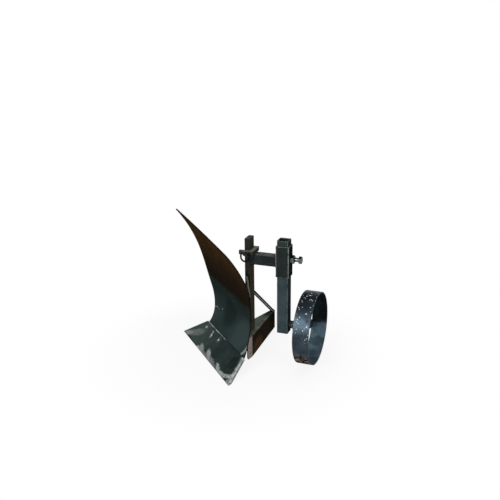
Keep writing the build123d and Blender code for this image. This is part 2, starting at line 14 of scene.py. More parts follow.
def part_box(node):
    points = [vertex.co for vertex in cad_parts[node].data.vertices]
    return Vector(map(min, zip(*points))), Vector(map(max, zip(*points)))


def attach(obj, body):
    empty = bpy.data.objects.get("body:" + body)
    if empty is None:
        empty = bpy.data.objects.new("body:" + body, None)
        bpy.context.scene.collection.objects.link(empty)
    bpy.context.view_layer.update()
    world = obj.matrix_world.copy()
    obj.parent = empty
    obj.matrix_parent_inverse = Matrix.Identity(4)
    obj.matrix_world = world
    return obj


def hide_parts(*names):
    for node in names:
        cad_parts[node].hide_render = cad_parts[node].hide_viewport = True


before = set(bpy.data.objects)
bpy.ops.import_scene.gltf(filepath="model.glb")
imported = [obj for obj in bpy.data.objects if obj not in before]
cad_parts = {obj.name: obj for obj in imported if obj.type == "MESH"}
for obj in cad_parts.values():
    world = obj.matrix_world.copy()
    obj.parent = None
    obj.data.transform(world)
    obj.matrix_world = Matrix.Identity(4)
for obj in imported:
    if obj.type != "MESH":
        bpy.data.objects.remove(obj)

log = logging.getLogger("plough")
Socket = bpy.types.NodeSocket
Value = Socket | float
Colour = tuple[float, float, float]
Tint = Socket | Colour | str
Zone = tuple[float, float]
Pair = tuple[float, float]
Inputs = dict[str | int, Value | Tint | Vector]

MM = 0.001
UP = Vector((0.0, 0.0, 1.0))
ACROSS = Vector((1.0, 0.0, 0.0))
REAR = Vector((0.0, 1.0, 0.0))
SCRATCHED = Vector((0.3, 0.2, 0.933))
# Roughness of scoured, rubbed, painted, dull and dry surfaces.
POLISHED, RUBBED, SATIN, DULL, MATT = 0.4, 0.42, 0.45, 0.5, 0.6
# Angles between faces: flat enough to join, sharp enough to ease, and sharp enough to shade as a crease.
FLAT, SHARP, CREASE = math.radians(0.6), math.radians(32.0), math.radians(40.0)
MERGED = 0.002 * MM
# The brace's radius, and half the length of its slanted end.
BRACE_RADIUS, BRACE_END = 5.0 * MM, 7.5 * MM


class Slot(Enum):
    """Material slots of the part's record."""

    SHARE = "share_steel"
    BOARD = "board_paint"
    FRAME = "frame_paint"
    LANDSIDE = "landside_steel"
    BRACKET = "bracket_paint"
    WHEEL = "wheel_paint"
    YOKE = "yoke_steel"
    BOLT = "bolt_steel"
    ZINC = "zinc"


class Body(Enum):
    """Rigid bodies that the pieces ride on."""

    FRAME = "frame"
    LEG = "leg"
    WHEEL = "wheel"
    SET_BOLT = "set_bolt"
    YOKE_PIN = "yoke_pin"
    RING = "pull_ring"


def middle(node: str) -> Vector:
    """Middle of a CAD node's box."""
    low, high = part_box(node)
    return (low + high) / 2


def brace_foot() -> Vector:
    """Middle of the brace's end on the frog."""
    low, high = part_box("brace_rod")
    return Vector((high.x - BRACE_RADIUS, high.y - BRACE_END, low.z))


class Lines:
    """Lines of the share: its cutting edge starts at the tip and runs along, its face rises across."""

    tip: Vector = Vector((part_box("landside")[1].x - 2.0 * MM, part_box("share")[0].y, 0.0))
    along: Vector = Vector((-0.70711, 0.70711, 0.0))
    across: Vector = Vector((0.70711, 0.70711, 0.0))
    slope: float = math.radians(30.0)
    upslope: Vector = across * math.cos(slope) + UP * math.sin(slope)


def shade(code: str) -> Colour:
    """Linear colour of a six-digit sRGB code."""
    parts = [int(code[i:i + 2], 16) / 255 for i in (0, 2, 4)]
    return tuple(((c + 0.055) / 1.055) ** 2.4 if c > 0.04045 else c / 12.92 for c in parts)


class Nodes:
    """Shader nodes of one tree, with short ways to add and join them."""

    def __init__(self, tree: bpy.types.NodeTree) -> None:
        """Starts with an empty tree."""
        self.tree = tree
        self.tree.nodes.clear()

    def add(self, kind: str, inputs: Inputs | None = None, **settings: object) -> bpy.types.Node:
        """Adds a node.

        Args:
            kind: type of the node.
            inputs: what its inputs are fed, by their names or places.
            settings: its properties.

        Returns:
            The node.
        """
        node = self.tree.nodes.new(kind)
        for key, value in settings.items():
            setattr(node, key, value)
        for key, value in (inputs or {}).items():
            self.feed(node.inputs[key], value)
        return node

    def feed(self, socket: Socket, value: Value | Tint | Vector) -> None:
        """Joins an input to an output, or sets it to a constant.

        Args:
            socket: the input.
            value: an output, a number, a vector, a colour or a colour's code.
        """
        if isinstance(value, Socket):
            self.tree.links.new(value, socket)
        elif socket.type == "RGBA":
            socket.default_value = (*(shade(value) if isinstance(value, str) else value), 1.0)
        else:
            socket.default_value = value

    def math(self, operation: str, a: Value, b: Value = 0.0, c: float = 0.0) -> Socket:
        """Result of one math operation on up to three values."""
        return self.add("ShaderNodeMath", {0: a, 1: b, 2: c}, operation=operation).outputs[0]

    def times(self, *values: Value) -> Socket:
        """Product of two or more values."""
        return reduce(lambda a, b: self.math("MULTIPLY", a, b), values)

    def plus(self, a: Value, b: Value) -> Socket:
        """Sum of two values."""
        return self.math("ADD", a, b)

    def dot(self, a: Socket, b: Socket | Vector) -> Socket:
        """Dot product of two vectors."""
        return self.add("ShaderNodeVectorMath", {0: a, 1: b}, operation="DOT_PRODUCT").outputs["Value"]

    def span(self, value: Socket, start: float, end: float, low: float = 0.0, high: float = 1.0) -> Socket:
        """Smooth step of a value between two limits, from a low to a high result."""
        inputs = dict(enumerate((value, start, end, low, high)))
        return self.add("ShaderNodeMapRange", inputs, interpolation_type="SMOOTHSTEP").outputs["Result"]

    def mix(self, share: Value, a: Tint, b: Tint) -> Socket:
        """Colour between two colours."""
        return self.add("ShaderNodeMix", {0: share, 6: a, 7: b}, data_type="RGBA").outputs[2]

    def join(self, x: Value, y: Value, z: Value) -> Socket:
        """Vector from three values."""
        return self.add("ShaderNodeCombineXYZ", {0: x, 1: y, 2: z}).outputs[0]

    def rays(self) -> tuple[Socket, Socket]:
        """Two light path values: 1 for rays straight from the camera, and 1 for those by gloss or glass."""
        path = self.add("ShaderNodeLightPath").outputs
        return path["Is Camera Ray"], self.math("MAXIMUM", path["Is Glossy Ray"], path["Is Transmission Ray"])


class Graph(Nodes):
    """Shader nodes of one material, with places and patterns on its surface."""

    def __init__(self, name: str) -> None:
        """Starts a material with a Principled shader.

        Args:
            name: name of the material.
        """
        self.material = bpy.data.materials.new(name)
        self.material.use_nodes = True
        super().__init__(self.material.node_tree)
        self.shader = self.add("ShaderNodeBsdfPrincipled")
        self.output = self.add("ShaderNodeOutputMaterial", {"Surface": self.shader.outputs["BSDF"]})
        self.place = self.add("ShaderNodeTexCoord").outputs["Object"]
        self.normal = self.add("ShaderNodeNewGeometry").outputs["Normal"]

    def noise(self, scale: float, detail: float = 4.0, roughness: float = 0.55,
              place: Socket | None = None) -> Socket:
        """Fractal noise, with its features per metre as scale, over Object coordinates or a place."""
        inputs = {"Vector": place or self.place, "Scale": scale, "Detail": detail, "Roughness": roughness}
        return self.add("ShaderNodeTexNoise", inputs).outputs["Fac"]

    def patches(self, scale: float, start: float, end: float, low: float = 0.0, high: float = 1.0,
                detail: float = 4.0, roughness: float = 0.55) -> Socket:
        """Soft patches: fractal noise stepped between two of its values."""
        return self.span(self.noise(scale, detail, roughness), start, end, low, high)

    def wavy(self, value: Socket, scale: float, size: float, detail: float = 4.0) -> Socket:
        """A value moved by noise, at most a size up or down."""
        return self.plus(value, self.math("MULTIPLY_ADD", self.noise(scale, detail), 2.0 * size, -size))

    def dots(self, scale: float, least: float, full: float, ragged: float = 0.07) -> Socket:
        """Scattered ragged spots, with their radii as shares of the spacing that the scale gives."""
        cells = self.add("ShaderNodeTexVoronoi", {"Vector": self.place, "Scale": scale})
        return self.span(self.wavy(cells.outputs["Distance"], 4.0 * scale, ragged), full, least)

    def measure(self, origin: Vector, direction: Vector) -> Socket:
        """Distance from an origin along a direction, in metres."""
        return self.math("SUBTRACT", self.dot(self.place, direction), origin.dot(direction))

    def distance(self, spot: Vector) -> Socket:
        """Distance from a spot, in metres."""
        return self.add("ShaderNodeVectorMath", {0: self.place, 1: spot}, operation="DISTANCE").outputs["Value"]

    def facing(self, direction: Vector, least: float = 0.6, full: float = 0.9) -> Socket:
        """1 on faces that look along a direction, 0 on those that look away."""
        return self.span(self.dot(self.normal, direction), least, full)

    def edge(self, width: float) -> Socket:
        """How near a point is to an edge of its piece: 0 on a flat face, 1 on the edge."""
        bevel = self.add("ShaderNodeBevel", {"Radius": width}, samples=6)
        return self.span(self.dot(bevel.outputs["Normal"], self.normal), 0.985, 0.74)

    def streaks(self, direction: Vector, fine: float, long: float) -> Socket:
        """Noise drawn out along a direction.

        Args:
            direction: unit vector that the streaks follow.
            fine: streaks per metre across the direction.
            long: features per metre along it.

        Returns:
            The noise value.
        """
        side = direction.orthogonal().normalized()
        ways = ((direction, long), (side, fine), (direction.cross(side), fine))
        drawn = self.join(*(self.times(self.dot(self.place, way), scale) for way, scale in ways))
        return self.noise(1.0, 3.0, 0.5, drawn)

    def surface(self, inputs: Inputs, height: Socket, depth: float) -> None:
        """Feeds the shader.

        Args:
            inputs: what its inputs are fed, by their names.
            height: relief of the surface.
            depth: depth of the relief, in metres.
        """
        relief = self.add("ShaderNodeBump", {"Height": height, "Distance": depth})
        for key, value in (*inputs.items(), ("Normal", relief.outputs["Normal"])):
            self.feed(self.shader.inputs[key], value)


@dataclass
class Layers:
    """What a finish has laid on a surface so far: colour, roughness, metal and relief."""

    g: Graph
    colour: Socket
    roughness: Socket
    metal: Value
    height: Socket

    def cover(self, share: Socket, colour: Tint, roughness: float, metal: float = 0.0) -> None:
        """Lays another layer over part of the surface.

        Args:
            share: where the layer lies, 0 to 1.
            colour: its colour.
            roughness: its roughness.
            metal: its metallic value.
        """
        g = self.g
        rest = g.math("SUBTRACT", 1.0, share)
        self.colour = g.mix(share, self.colour, colour)
        self.roughness = g.plus(g.times(self.roughness, rest), g.times(share, roughness))
        self.metal = g.plus(g.times(self.metal, rest), g.times(share, metal))


@dataclass(frozen=True)
class Stroke:
    """A rub mark: a soft ellipse in two measures of a surface, in millimetres, leaning by some degrees."""

    along: float
    up: float
    length: float
    width: float
    lean: float = 0.0
    strength: float = 0.6

    def mask(self, g: Graph, along: Socket, up: Socket) -> Socket:
        """Where the mark lies.

        Args:
            g: the material's nodes.
            along: first measure of the surface.
            up: second measure.

        Returns:
            The mark's strength at each point.
        """
        turn = math.radians(self.lean)
        run = g.math("SUBTRACT", along, self.along * MM)
        rise = g.math("SUBTRACT", up, self.up * MM)
        parts = []
        for size, c, s in ((self.length * MM, math.cos(turn), math.sin(turn)),
                           (self.width * MM, -math.sin(turn), math.cos(turn))):
            part = g.plus(g.times(run, c / size), g.times(rise, s / size))
            parts.append(g.times(part, part))
        return g.span(g.plus(*parts), 1.0, 0.15, 0.0, self.strength)


class Finish:
    """What a piece is dressed in: its slot in the record, and a material made when first asked for."""

    name: str
    slot: Slot

    def dress(self, g: Graph) -> None:
        """Feeds the material's shader."""
        raise NotImplementedError

    def material(self) -> bpy.types.Material:
        """Makes the finish's material, once.

        Returns:
            The material.
        """
        if self.name not in bpy.data.materials:
            self.dress(Graph(self.name))
        return bpy.data.materials[self.name]


@dataclass(frozen=True)
class Paint(Finish):
    """Dark shop paint on steel, rubbed bare along the edges."""

    name: str
    slot: Slot
    coat: str
    mottle: str
    pores: str = "0b0c0c"
    bare: str = "a6aaa6"
    bare_metal: float = 0.4
    dust: str = "6c726c"
    soil: str = ""
    soil_high: str = ""
    high_zone: Zone = (0.26, 0.31)
    roughness: float = 0.5
    gloss: float = 0.0
    metal: float = 0.0
    wear: float = 2.4 * MM
    worn: float = 0.5
    dusty: float = 0.0
    # The next four fields give a painted shadow round a spot: its colour, strength, spot and reach.
    scale: str = "14120f"
    painted_shadow: float = 0.0
    painted_shadow_at: Vector = Vector()
    painted_shadow_zone: Zone = (0.075, 0.025)
    grain: float = 0.12 * MM

    def layers(self, g: Graph) -> Layers:
        """The coat itself, clouded and slightly grainy.

        Args:
            g: the material's nodes.

        Returns:
            What is laid on the surface.
        """
        cloud = g.noise(30.0, 6.0, 0.6)
        fine = g.noise(480.0, 3.0, 0.6)
        colour = g.mix(g.span(cloud, 0.36, 0.66), self.coat, self.mottle)
        colour = g.mix(g.span(fine, 0.4, 0.75, 0.0, 0.35), colour, self.pores)
        rough = g.plus(g.span(cloud, 0.3, 0.7, self.roughness - 0.08, self.roughness + 0.08),
                       g.span(fine, 0.3, 0.7, -0.05, 0.05))
        return Layers(g, colour, rough, self.metal, fine)

    def marks(self, layers: Layers) -> None:
        """Wear on the coat: soil on the land side, dust, a painted shadow round a spot, scratches and bare
        edges.

        Args:
            layers: what the surface has so far.
        """
        g = layers.g
        if self.soil:
            film = g.times(g.facing(ACROSS), g.patches(45.0, 0.3, 0.65, 0.55, 1.0))
            high = g.span(g.measure(Vector(), UP), *self.high_zone)
            layers.cover(film, g.mix(high, self.soil, self.soil_high or self.soil), roughness=0.7)
        if self.dusty:
            film = g.times(g.facing(UP), g.patches(70.0, 0.3, 0.7, 0.45 * self.dusty, self.dusty))
            layers.cover(film, self.dust, roughness=0.75)
        if self.painted_shadow:
            # Painted shadow round the spot, darkest at its middle.
            away = g.wavy(g.distance(self.painted_shadow_at), 60.0, 10.0 * MM)
            layers.cover(g.span(away, *self.painted_shadow_zone, 0.0, self.painted_shadow), self.scale, MATT)
        scratch = g.span(g.streaks(SCRATCHED, 700.0, 22.0), 0.70, 0.8, 0.0, 0.5)
        layers.cover(scratch, self.bare, SATIN, metal=0.2)
        if self.worn:
            near = g.wavy(g.edge(self.wear), 130.0, 0.8, 5.0)
            bared = g.span(near, 1.0 - self.worn, 1.25 - self.worn)
            layers.cover(bared, self.bare, RUBBED, self.bare_metal)

    def dress(self, g: Graph) -> None:
        """The coat with its marks.

        Args:
            g: the material's nodes.
        """
        layers = self.layers(g)
        self.marks(layers)
        g.surface({"Base Color": layers.colour, "Roughness": layers.roughness, "Metallic": layers.metal,
                   "Specular IOR Level": self.gloss}, layers.height, self.grain)


@dataclass(frozen=True)
class BoardPaint(Paint):
    """Paint on the mouldboard: blue-black, with a painted teal reflection low down and a painted brown
    reflection higher up.
    """

    # film and the four fields after it: colours and heights of the painted brown reflection on the board's
    # upper front.
    film: str = "1e1813"
    brown_reflection_high: str = "3a2a18"
    brown_reflection_dark: str = "1c130a"
    brown_reflection_zone: Zone = (0.140, 0.163)
    brown_reflection_top: float = 0.31
    # low and the zone after it: colour and heights of the painted teal reflection low on the board.
    low: str = "2f3d3c"
    teal_reflection_zone: Zone = (0.135, 0.055)
    # The next two colours are of the painted sheen and painted shadow strokes.
    painted_sheen: str = "3d4b4b"
    dark: str = "18221f"
    scuff: str = "b4bab7"
    rub: str = "5d6866"
    sheen: tuple[Stroke, ...] = (Stroke(140, 66, 55, 60, 20, 0.45), Stroke(330, 55, 40, 22, 0, 0.3))
    shadow: tuple[Stroke, ...] = (Stroke(245, 92, 55, 50, 10, 0.7),)
    scuffs: tuple[Stroke, ...] = (
        Stroke(357, 71, 9, 3, 25, 0.9), Stroke(342, 74, 12, 1.6, -15, 0.6), Stroke(326, 76, 5, 2, 40, 0.6),
        Stroke(303, 82, 5, 2, 20, 0.5), Stroke(232, 134, 2.2, 2.2, 0, 0.8),
        Stroke(222, 128, 1.6, 1.6, 0, 0.6), Stroke(78, 55, 8, 24, 0, 0.75))

    def layers(self, g: Graph) -> Layers:
        """The coat with its painted teal reflection low down and painted brown reflection above, painted sheen
        and shadow strokes, scuffs and the long rub marks of the soil.

        Args:
            g: the material's nodes.

        Returns:
            What is laid on the surface.
        """
        layers = super().layers(g)
        along = g.wavy(g.measure(Lines.tip, Lines.along), 90.0, 4.0 * MM)
        height = g.wavy(g.measure(Vector(), UP), 40.0, 8.0 * MM)
        # Painted teal reflection low down.
        layers.cover(g.span(height, *self.teal_reflection_zone, 0.0, 0.85), self.low, POLISHED)
        # Painted brown reflection higher up, on the front only.
        brown = g.mix(g.span(height, self.brown_reflection_zone[1], self.brown_reflection_top), self.film, self.brown_reflection_high)
        brown = g.mix(g.patches(16.0, 0.4, 0.7, 0.0, 0.4), brown, self.brown_reflection_dark)
        front = g.facing(-Lines.across, -0.05, 0.1)
        layers.cover(g.times(g.span(height, *self.brown_reflection_zone), front), brown, DULL)
        # Painted sheen and painted shadow strokes.
        for marks, colour, roughness in ((self.sheen, self.painted_sheen, POLISHED), (self.shadow, self.dark, DULL)):
            for stroke in marks:
                layers.cover(stroke.mask(g, along, height), colour, roughness)
        for stroke in self.scuffs:
            ragged = g.times(stroke.mask(g, along, height), g.patches(330.0, 0.35, 0.6, 0.2, 1.0))
            layers.cover(g.times(ragged, front), self.scuff, SATIN, metal=0.2)
        rubs = g.streaks((Lines.along + UP * 0.35).normalized(), 420.0, 7.0)
        layers.cover(g.span(rubs, 0.62, 0.8, 0.0, 0.1), self.rub, RUBBED)
        return layers


@dataclass(frozen=True)
class SharePaint(Paint):
    """Paint on the share, scoured bright along the cutting edge and the nose."""

    nose: Vector = Vector((0.5643, 0.8256))
    nose_zone: Zone = (0.014, 0.004)
    polish: str = "dde2df"
    wing: str = "424e4b"
    wing_zone: Zone = (0.12, 0.34)
    stain: str = "151b1a"
    pit: str = "161c1b"
    glint: str = "eef1ef"
    rub: str = "8b9492"
    # The next three fields: colour and place of a painted highlight along the share's upper edge, where it
    # meets the board.
    seam_highlight: str = "d3d8d5"
    seam_highlight_rise: Zone = (76.0 * MM, 77.4 * MM)
    seam_highlight_zone: Zone = (175.0 * MM, 205.0 * MM)
    # The next four fields: colour and place of painted shade along the same edge, from the bright stretch to
    # the nose.
    joint_shade: str = "222e2c"
    joint_shade_rise: Zone = (75.2 * MM, 76.7 * MM)
    joint_shade_start: Zone = (62.0 * MM, 75.0 * MM)
    joint_shade_end: Zone = (175.0 * MM, 155.0 * MM)
    bright: tuple[Stroke, ...] = (
        Stroke(12, 5, 30, 14, 40, 0.35), Stroke(28, 21, 14, 9, 117, 0.8), Stroke(43, 11, 20, 8, -18, 0.75),
        Stroke(68, 6, 24, 7, -3, 0.65), Stroke(98, 9, 26, 7, 20, 0.6), Stroke(150, 4, 44, 13, 8, 0.3),
        Stroke(176, 12, 34, 10, 26, 0.5), Stroke(170, 0, 90, 12, 0, 0.28), Stroke(226, 7, 30, 11, 26, 0.5),
        Stroke(244, 1, 16, 8, 0, 0.6), Stroke(346, 10, 30, 12, -30, 0.38), Stroke(316, 30, 44, 18, -33, 0.17),
        Stroke(253, 57, 19, 3.8, 53, 0.9))
    dark: tuple[Stroke, ...] = (Stroke(320, 0, 55, 7, 0, 0.85), Stroke(70, 50, 28, 26, 40, 0.6))
    specks: Stroke = Stroke(22, 6, 30, 12, 10, 1.0)
    spot: str = "d8dcda"
    spots: tuple[Stroke, ...] = ()

    @staticmethod
    def place(g: Graph) -> tuple[Socket, Socket]:
        """Distances along the cutting edge and up the face, in metres."""
        up = g.math("DIVIDE", g.measure(Lines.tip, Lines.across), math.cos(Lines.slope))
        return g.measure(Lines.tip, Lines.along), up

    def layers(self, g: Graph) -> Layers:
        """The coat, paler towards the wing, with the scoured bands, a painted highlight along the upper edge
        where it meets the board, and the spots rubbed on bolt heads.

        Args:
            g: the material's nodes.

        Returns:
            What is laid on the surface.
        """
        layers = super().layers(g)
        along, up = self.place(g)
        s = g.wavy(along, 90.0, 8.0 * MM, 8.0)
        u = g.wavy(up, 110.0, 6.0 * MM, 8.0)
        layers.cover(g.span(s, *self.wing_zone, 0.0, 0.8), self.wing, DULL)
        for stroke in self.dark:
            layers.cover(stroke.mask(g, s, u), self.stain, SATIN)
        from_nose = g.math("SUBTRACT", g.times(s, self.nose.y), g.times(u, self.nose.x))
        scoured = g.times(g.span(from_nose, *self.nose_zone), g.patches(80.0, 0.4, 0.56, 0.55, 1.0))
        for stroke in self.bright:
            scoured = g.math("MAXIMUM", scoured, stroke.mask(g, s, u))
        flow = (Lines.upslope + Lines.along * 0.4).normalized()
        grain = g.plus(g.times(g.streaks(flow, 330.0, 60.0), 0.4), g.times(g.noise(170.0, 7.0, 0.7), 0.6))
        patchy = g.times(scoured, g.span(grain, 0.4, 0.58, 0.35, 1.0))
        layers.cover(patchy, self.polish, POLISHED, metal=0.25)
        at_tip = self.specks.mask(g, s, u)
        layers.cover(g.times(g.dots(95.0, 0.2, 0.32), at_tip), self.pit, SATIN)
        layers.cover(g.times(g.dots(120.0, 0.1, 0.2), at_tip), self.glint, POLISHED, metal=0.2)
        # Painted highlight along the upper edge.
        seam_highlight = g.times(g.span(u, *self.seam_highlight_rise), g.span(s, *self.seam_highlight_zone), 0.65)
        layers.cover(seam_highlight, self.seam_highlight, POLISHED, metal=0.2)
        rubs = g.streaks(flow, 520.0, 16.0)
        layers.cover(g.span(rubs, 0.62, 0.8, 0.0, 0.5), self.rub, RUBBED)
        if self.spots:
            along, up = self.place(g)
            s, u = g.wavy(along, 330.0, 5.0 * MM), g.wavy(up, 390.0, 5.0 * MM)
        for stroke in self.spots:
            layers.cover(stroke.mask(g, s, u), self.spot, POLISHED, metal=0.2)
        return layers

    def marks(self, layers: Layers) -> None:
        """The wear, then painted shade along the share's upper edge, where it meets the board, from the bright
        stretch to the nose.

        Args:
            layers: what the surface has so far.
        """
        super().marks(layers)
        g = layers.g
        s, u = self.place(g)
        # Painted shade along the upper edge.
        stretch = g.times(g.span(s, *self.joint_shade_end), g.span(s, *self.joint_shade_start))
        layers.cover(g.times(stretch, g.span(u, *self.joint_shade_rise)), self.joint_shade, roughness=0.55)


@dataclass(frozen=True)
class EndCutPaint(Paint):
    """Paint on a bar with one end or side bare; on the brace, the same layer is a painted highlight along the
    rod.
    """

    cut: str = "8f827c"
    cut_alt: str = "6f645f"
    cut_metal: float = 0.1
    cut_at: Vector = Vector()
    cut_normal: Vector = UP
    cut_facing: Vector = UP
    cut_least: float = 0.1
    cut_full: float = 0.5
    cut_depth: float = 0.0
    blur: float = 0.4 * MM

    def marks(self, layers: Layers) -> None:
        """The wear, then the bare end over it, which on the brace is a painted highlight.

        Args:
            layers: what the surface has so far.
        """
        super().marks(layers)
        g = layers.g
        ahead = g.wavy(g.measure(self.cut_at, self.cut_normal), 300.0, self.blur)
        bare = g.mix(g.patches(110.0, 0.35, 0.65, detail=5.0, roughness=0.6), self.cut, self.cut_alt)
        where = g.times(g.span(ahead, -self.cut_depth - self.blur, -self.cut_depth + self.blur),
                        g.facing(self.cut_facing, self.cut_least, self.cut_full))
        # On the brace, this layer is a painted highlight.
        layers.cover(where, bare, DULL, self.cut_metal)


@dataclass(frozen=True)
class LandsidePaint(EndCutPaint):
    """Paint on the landside, rubbed to a lighter brown behind the toe."""

    toe: Vector = Vector()
    rub: str = "7a5c40"
    rubbed: Stroke = Stroke(70, 18, 48, 30, 0, 0.6)

    def marks(self, layers: Layers) -> None:
        """The wear and the bare toe, then the rubbed patch.

        Args:
            layers: what the surface has so far.
        """
        super().marks(layers)
        g = layers.g
        back = g.wavy(g.measure(self.toe, REAR), 60.0, 12.0 * MM)
        rise = g.wavy(g.measure(self.toe, UP), 50.0, 12.0 * MM)
        layers.cover(g.times(self.rubbed.mask(g, back, rise), g.facing(ACROSS)), self.rub, MATT)


@dataclass(frozen=True)
class TubePaint(Paint):
    """Paint on an upright square tube, rubbed through along its rounded corners."""

    tube: str = ""
    corner: float = 3.2 * MM
    rubbed: float = 0.6
    head: str = ""
    head_height: float = 20.0 * MM

    def layers(self, g: Graph) -> Layers:
        """The coat, greyer at the upper end, with the rubbed corners.

        Args:
            g: the material's nodes.

        Returns:
            What is laid on the surface.
        """
        layers = super().layers(g)
        centre = middle(self.tube)
        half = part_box(self.tube)[1] - centre
        if self.head:
            up = g.wavy(g.measure(centre, UP), 90.0, 4.0 * MM)
            upper = g.span(up, half.z - self.head_height, half.z - 0.8 * self.head_height)
            layers.cover(upper, self.head, DULL)
        near = []
        for direction, size in ((ACROSS, half.x), (REAR, half.y)):
            off = g.math("ABSOLUTE", g.measure(centre, direction))
            near.append(g.span(off, size - self.corner, size - 0.3 * self.corner))
        patchy = g.patches(75.0, 0.36, 0.55, 0.0, self.rubbed, detail=5.0, roughness=0.65)
        layers.cover(g.times(*near, patchy), self.bare, RUBBED, self.bare_metal)
        return layers


@dataclass(frozen=True)
class WheelPaint(Paint):
    """Blued scale on the wheel, rubbed and chipped round its tread, with rust low down at the front, and
    painted light and shade inside the rim.

    Heights and radii are measured from the axis.
    """

    axis: Vector = Vector()
    tread: float = 100.5 * MM
    skin: float = 1.0 * MM
    inside: Zone = (93.0 * MM, 96.5 * MM)
    inside_end: Zone = (99.5 * MM, 98.5 * MM)
    rub: str = "71828e"
    cloud: str = "2a2e30"
    chip: str = "fbfdfd"
    chip_zone: Zone = (-0.01, 0.02)
    # Painted light inside the rim: a lighter painted reflection over the lower part with a darker painted
    # shadow stripe across it, and painted shade over the upper part.
    painted_sheen: str = "7590a0"
    painted_sheen_zone: Zone = (-0.015, -0.03)
    inside_shade: str = "15191b"
    inside_shade_zone: Zone = (-0.034, -0.02)
    shadow_band: str = "232e35"
    shadow_band_top: Zone = (-0.058, -0.066)
    shadow_band_foot: Zone = (-0.084, -0.077)
    rust: str = "1d1512"
    rust_pale: str = "84756a"
    foot: Vector = Vector()
    foot_zone: Zone = (0.055, 0.036)

    def layers(self, g: Graph) -> Layers:
        """The coat with rub marks that run round the axis, chips, the painted reflection, painted shade and
        painted shadow stripe inside the rim, and the rusty patch.

        Args:
            g: the material's nodes.

        Returns:
            What is laid on the surface.
        """
        layers = super().layers(g)
        across, back, rise = (g.measure(self.axis, way) for way in (ACROSS, REAR, UP))
        turn = g.math("ARCTAN2", rise, back)
        radius = g.math("SQRT", g.plus(g.times(back, back), g.times(rise, rise)))
        rubs = g.noise(1.0, 4.0, 0.6, g.join(g.times(across, 420.0), g.times(turn, 2.2), 3.0))
        layers.cover(g.span(rubs, 0.55, 0.8, 0.0, 0.5), self.rub, RUBBED, self.metal)
        clouds = g.patches(22.0, 0.56, 0.66, 0.0, 0.75, detail=5.0, roughness=0.6)
        layers.cover(clouds, self.cloud, DULL, 0.5 * self.metal)
        outside = g.span(radius, self.tread - self.skin, self.tread)
        upper = g.times(g.span(rise, *self.chip_zone, 0.1, 1.0), outside)
        chips = g.times(g.dots(150.0, 0.16, 0.24), g.patches(95.0, 0.45, 0.53, detail=2.0))
        layers.cover(g.times(chips, upper), self.chip, DULL)
        inside = g.times(g.span(radius, *self.inside), g.span(radius, *self.inside_end))
        level = g.wavy(rise, 45.0, 12.0 * MM)
        # Painted reflection on the lower inside.
        painted_sheen = g.times(g.span(level, *self.painted_sheen_zone), g.patches(26.0, 0.35, 0.6, 0.5, 0.9))
        layers.cover(g.times(inside, painted_sheen), self.painted_sheen, SATIN, metal=0.4)
        # Painted shade on the upper inside.
        upper_shade = g.times(g.span(level, *self.inside_shade_zone, 0.0, 0.85), inside)
        layers.cover(upper_shade, self.inside_shade, MATT, metal=0.3)
        # Painted shadow stripe low inside.
        shadow_band = g.times(g.span(level, *self.shadow_band_top), g.span(level, *self.shadow_band_foot))
        layers.cover(g.times(shadow_band, inside, 0.6), self.shadow_band, DULL, metal=0.3)
        low = g.span(g.wavy(g.distance(self.foot), 120.0, 20.0 * MM), *self.foot_zone)
        layers.cover(low, g.mix(g.patches(95.0, 0.45, 0.6), self.rust, self.rust_pale), roughness=0.8)
        return layers


@dataclass(frozen=True)
class Zinc(Finish):
    """Zinc plating gone grey, with a faint green cast, bright marks and a painted dark reflection along its
    edges.
    """

    name: str
    slot: Slot
    bright: str = "8d9d99"
    dull: str = "2c3432"
    # Colour and width of the painted dark reflection along the edges.
    edge: str = "0e1111"
    edge_width: float = 1.3 * MM
    grain: float = 0.05 * MM

    def dress(self, g: Graph) -> None:
        """The clouded plating with the painted dark reflection along its edges.

        Args:
            g: the material's nodes.
        """
        cloud = g.noise(150.0, 5.0, 0.6)
        colour = g.mix(g.span(cloud, 0.45, 0.58), self.bright, self.dull)
        # Painted dark reflection along the edges.
        colour = g.mix(g.span(g.edge(self.edge_width), 0.2, 0.8, 0.0, 0.8), colour, self.edge)
        g.surface({"Base Color": colour, "Roughness": g.span(cloud, 0.3, 0.7, 0.18, 0.36), "Metallic": 1.0},
                  g.noise(900.0, 2.0, 0.5), self.grain)


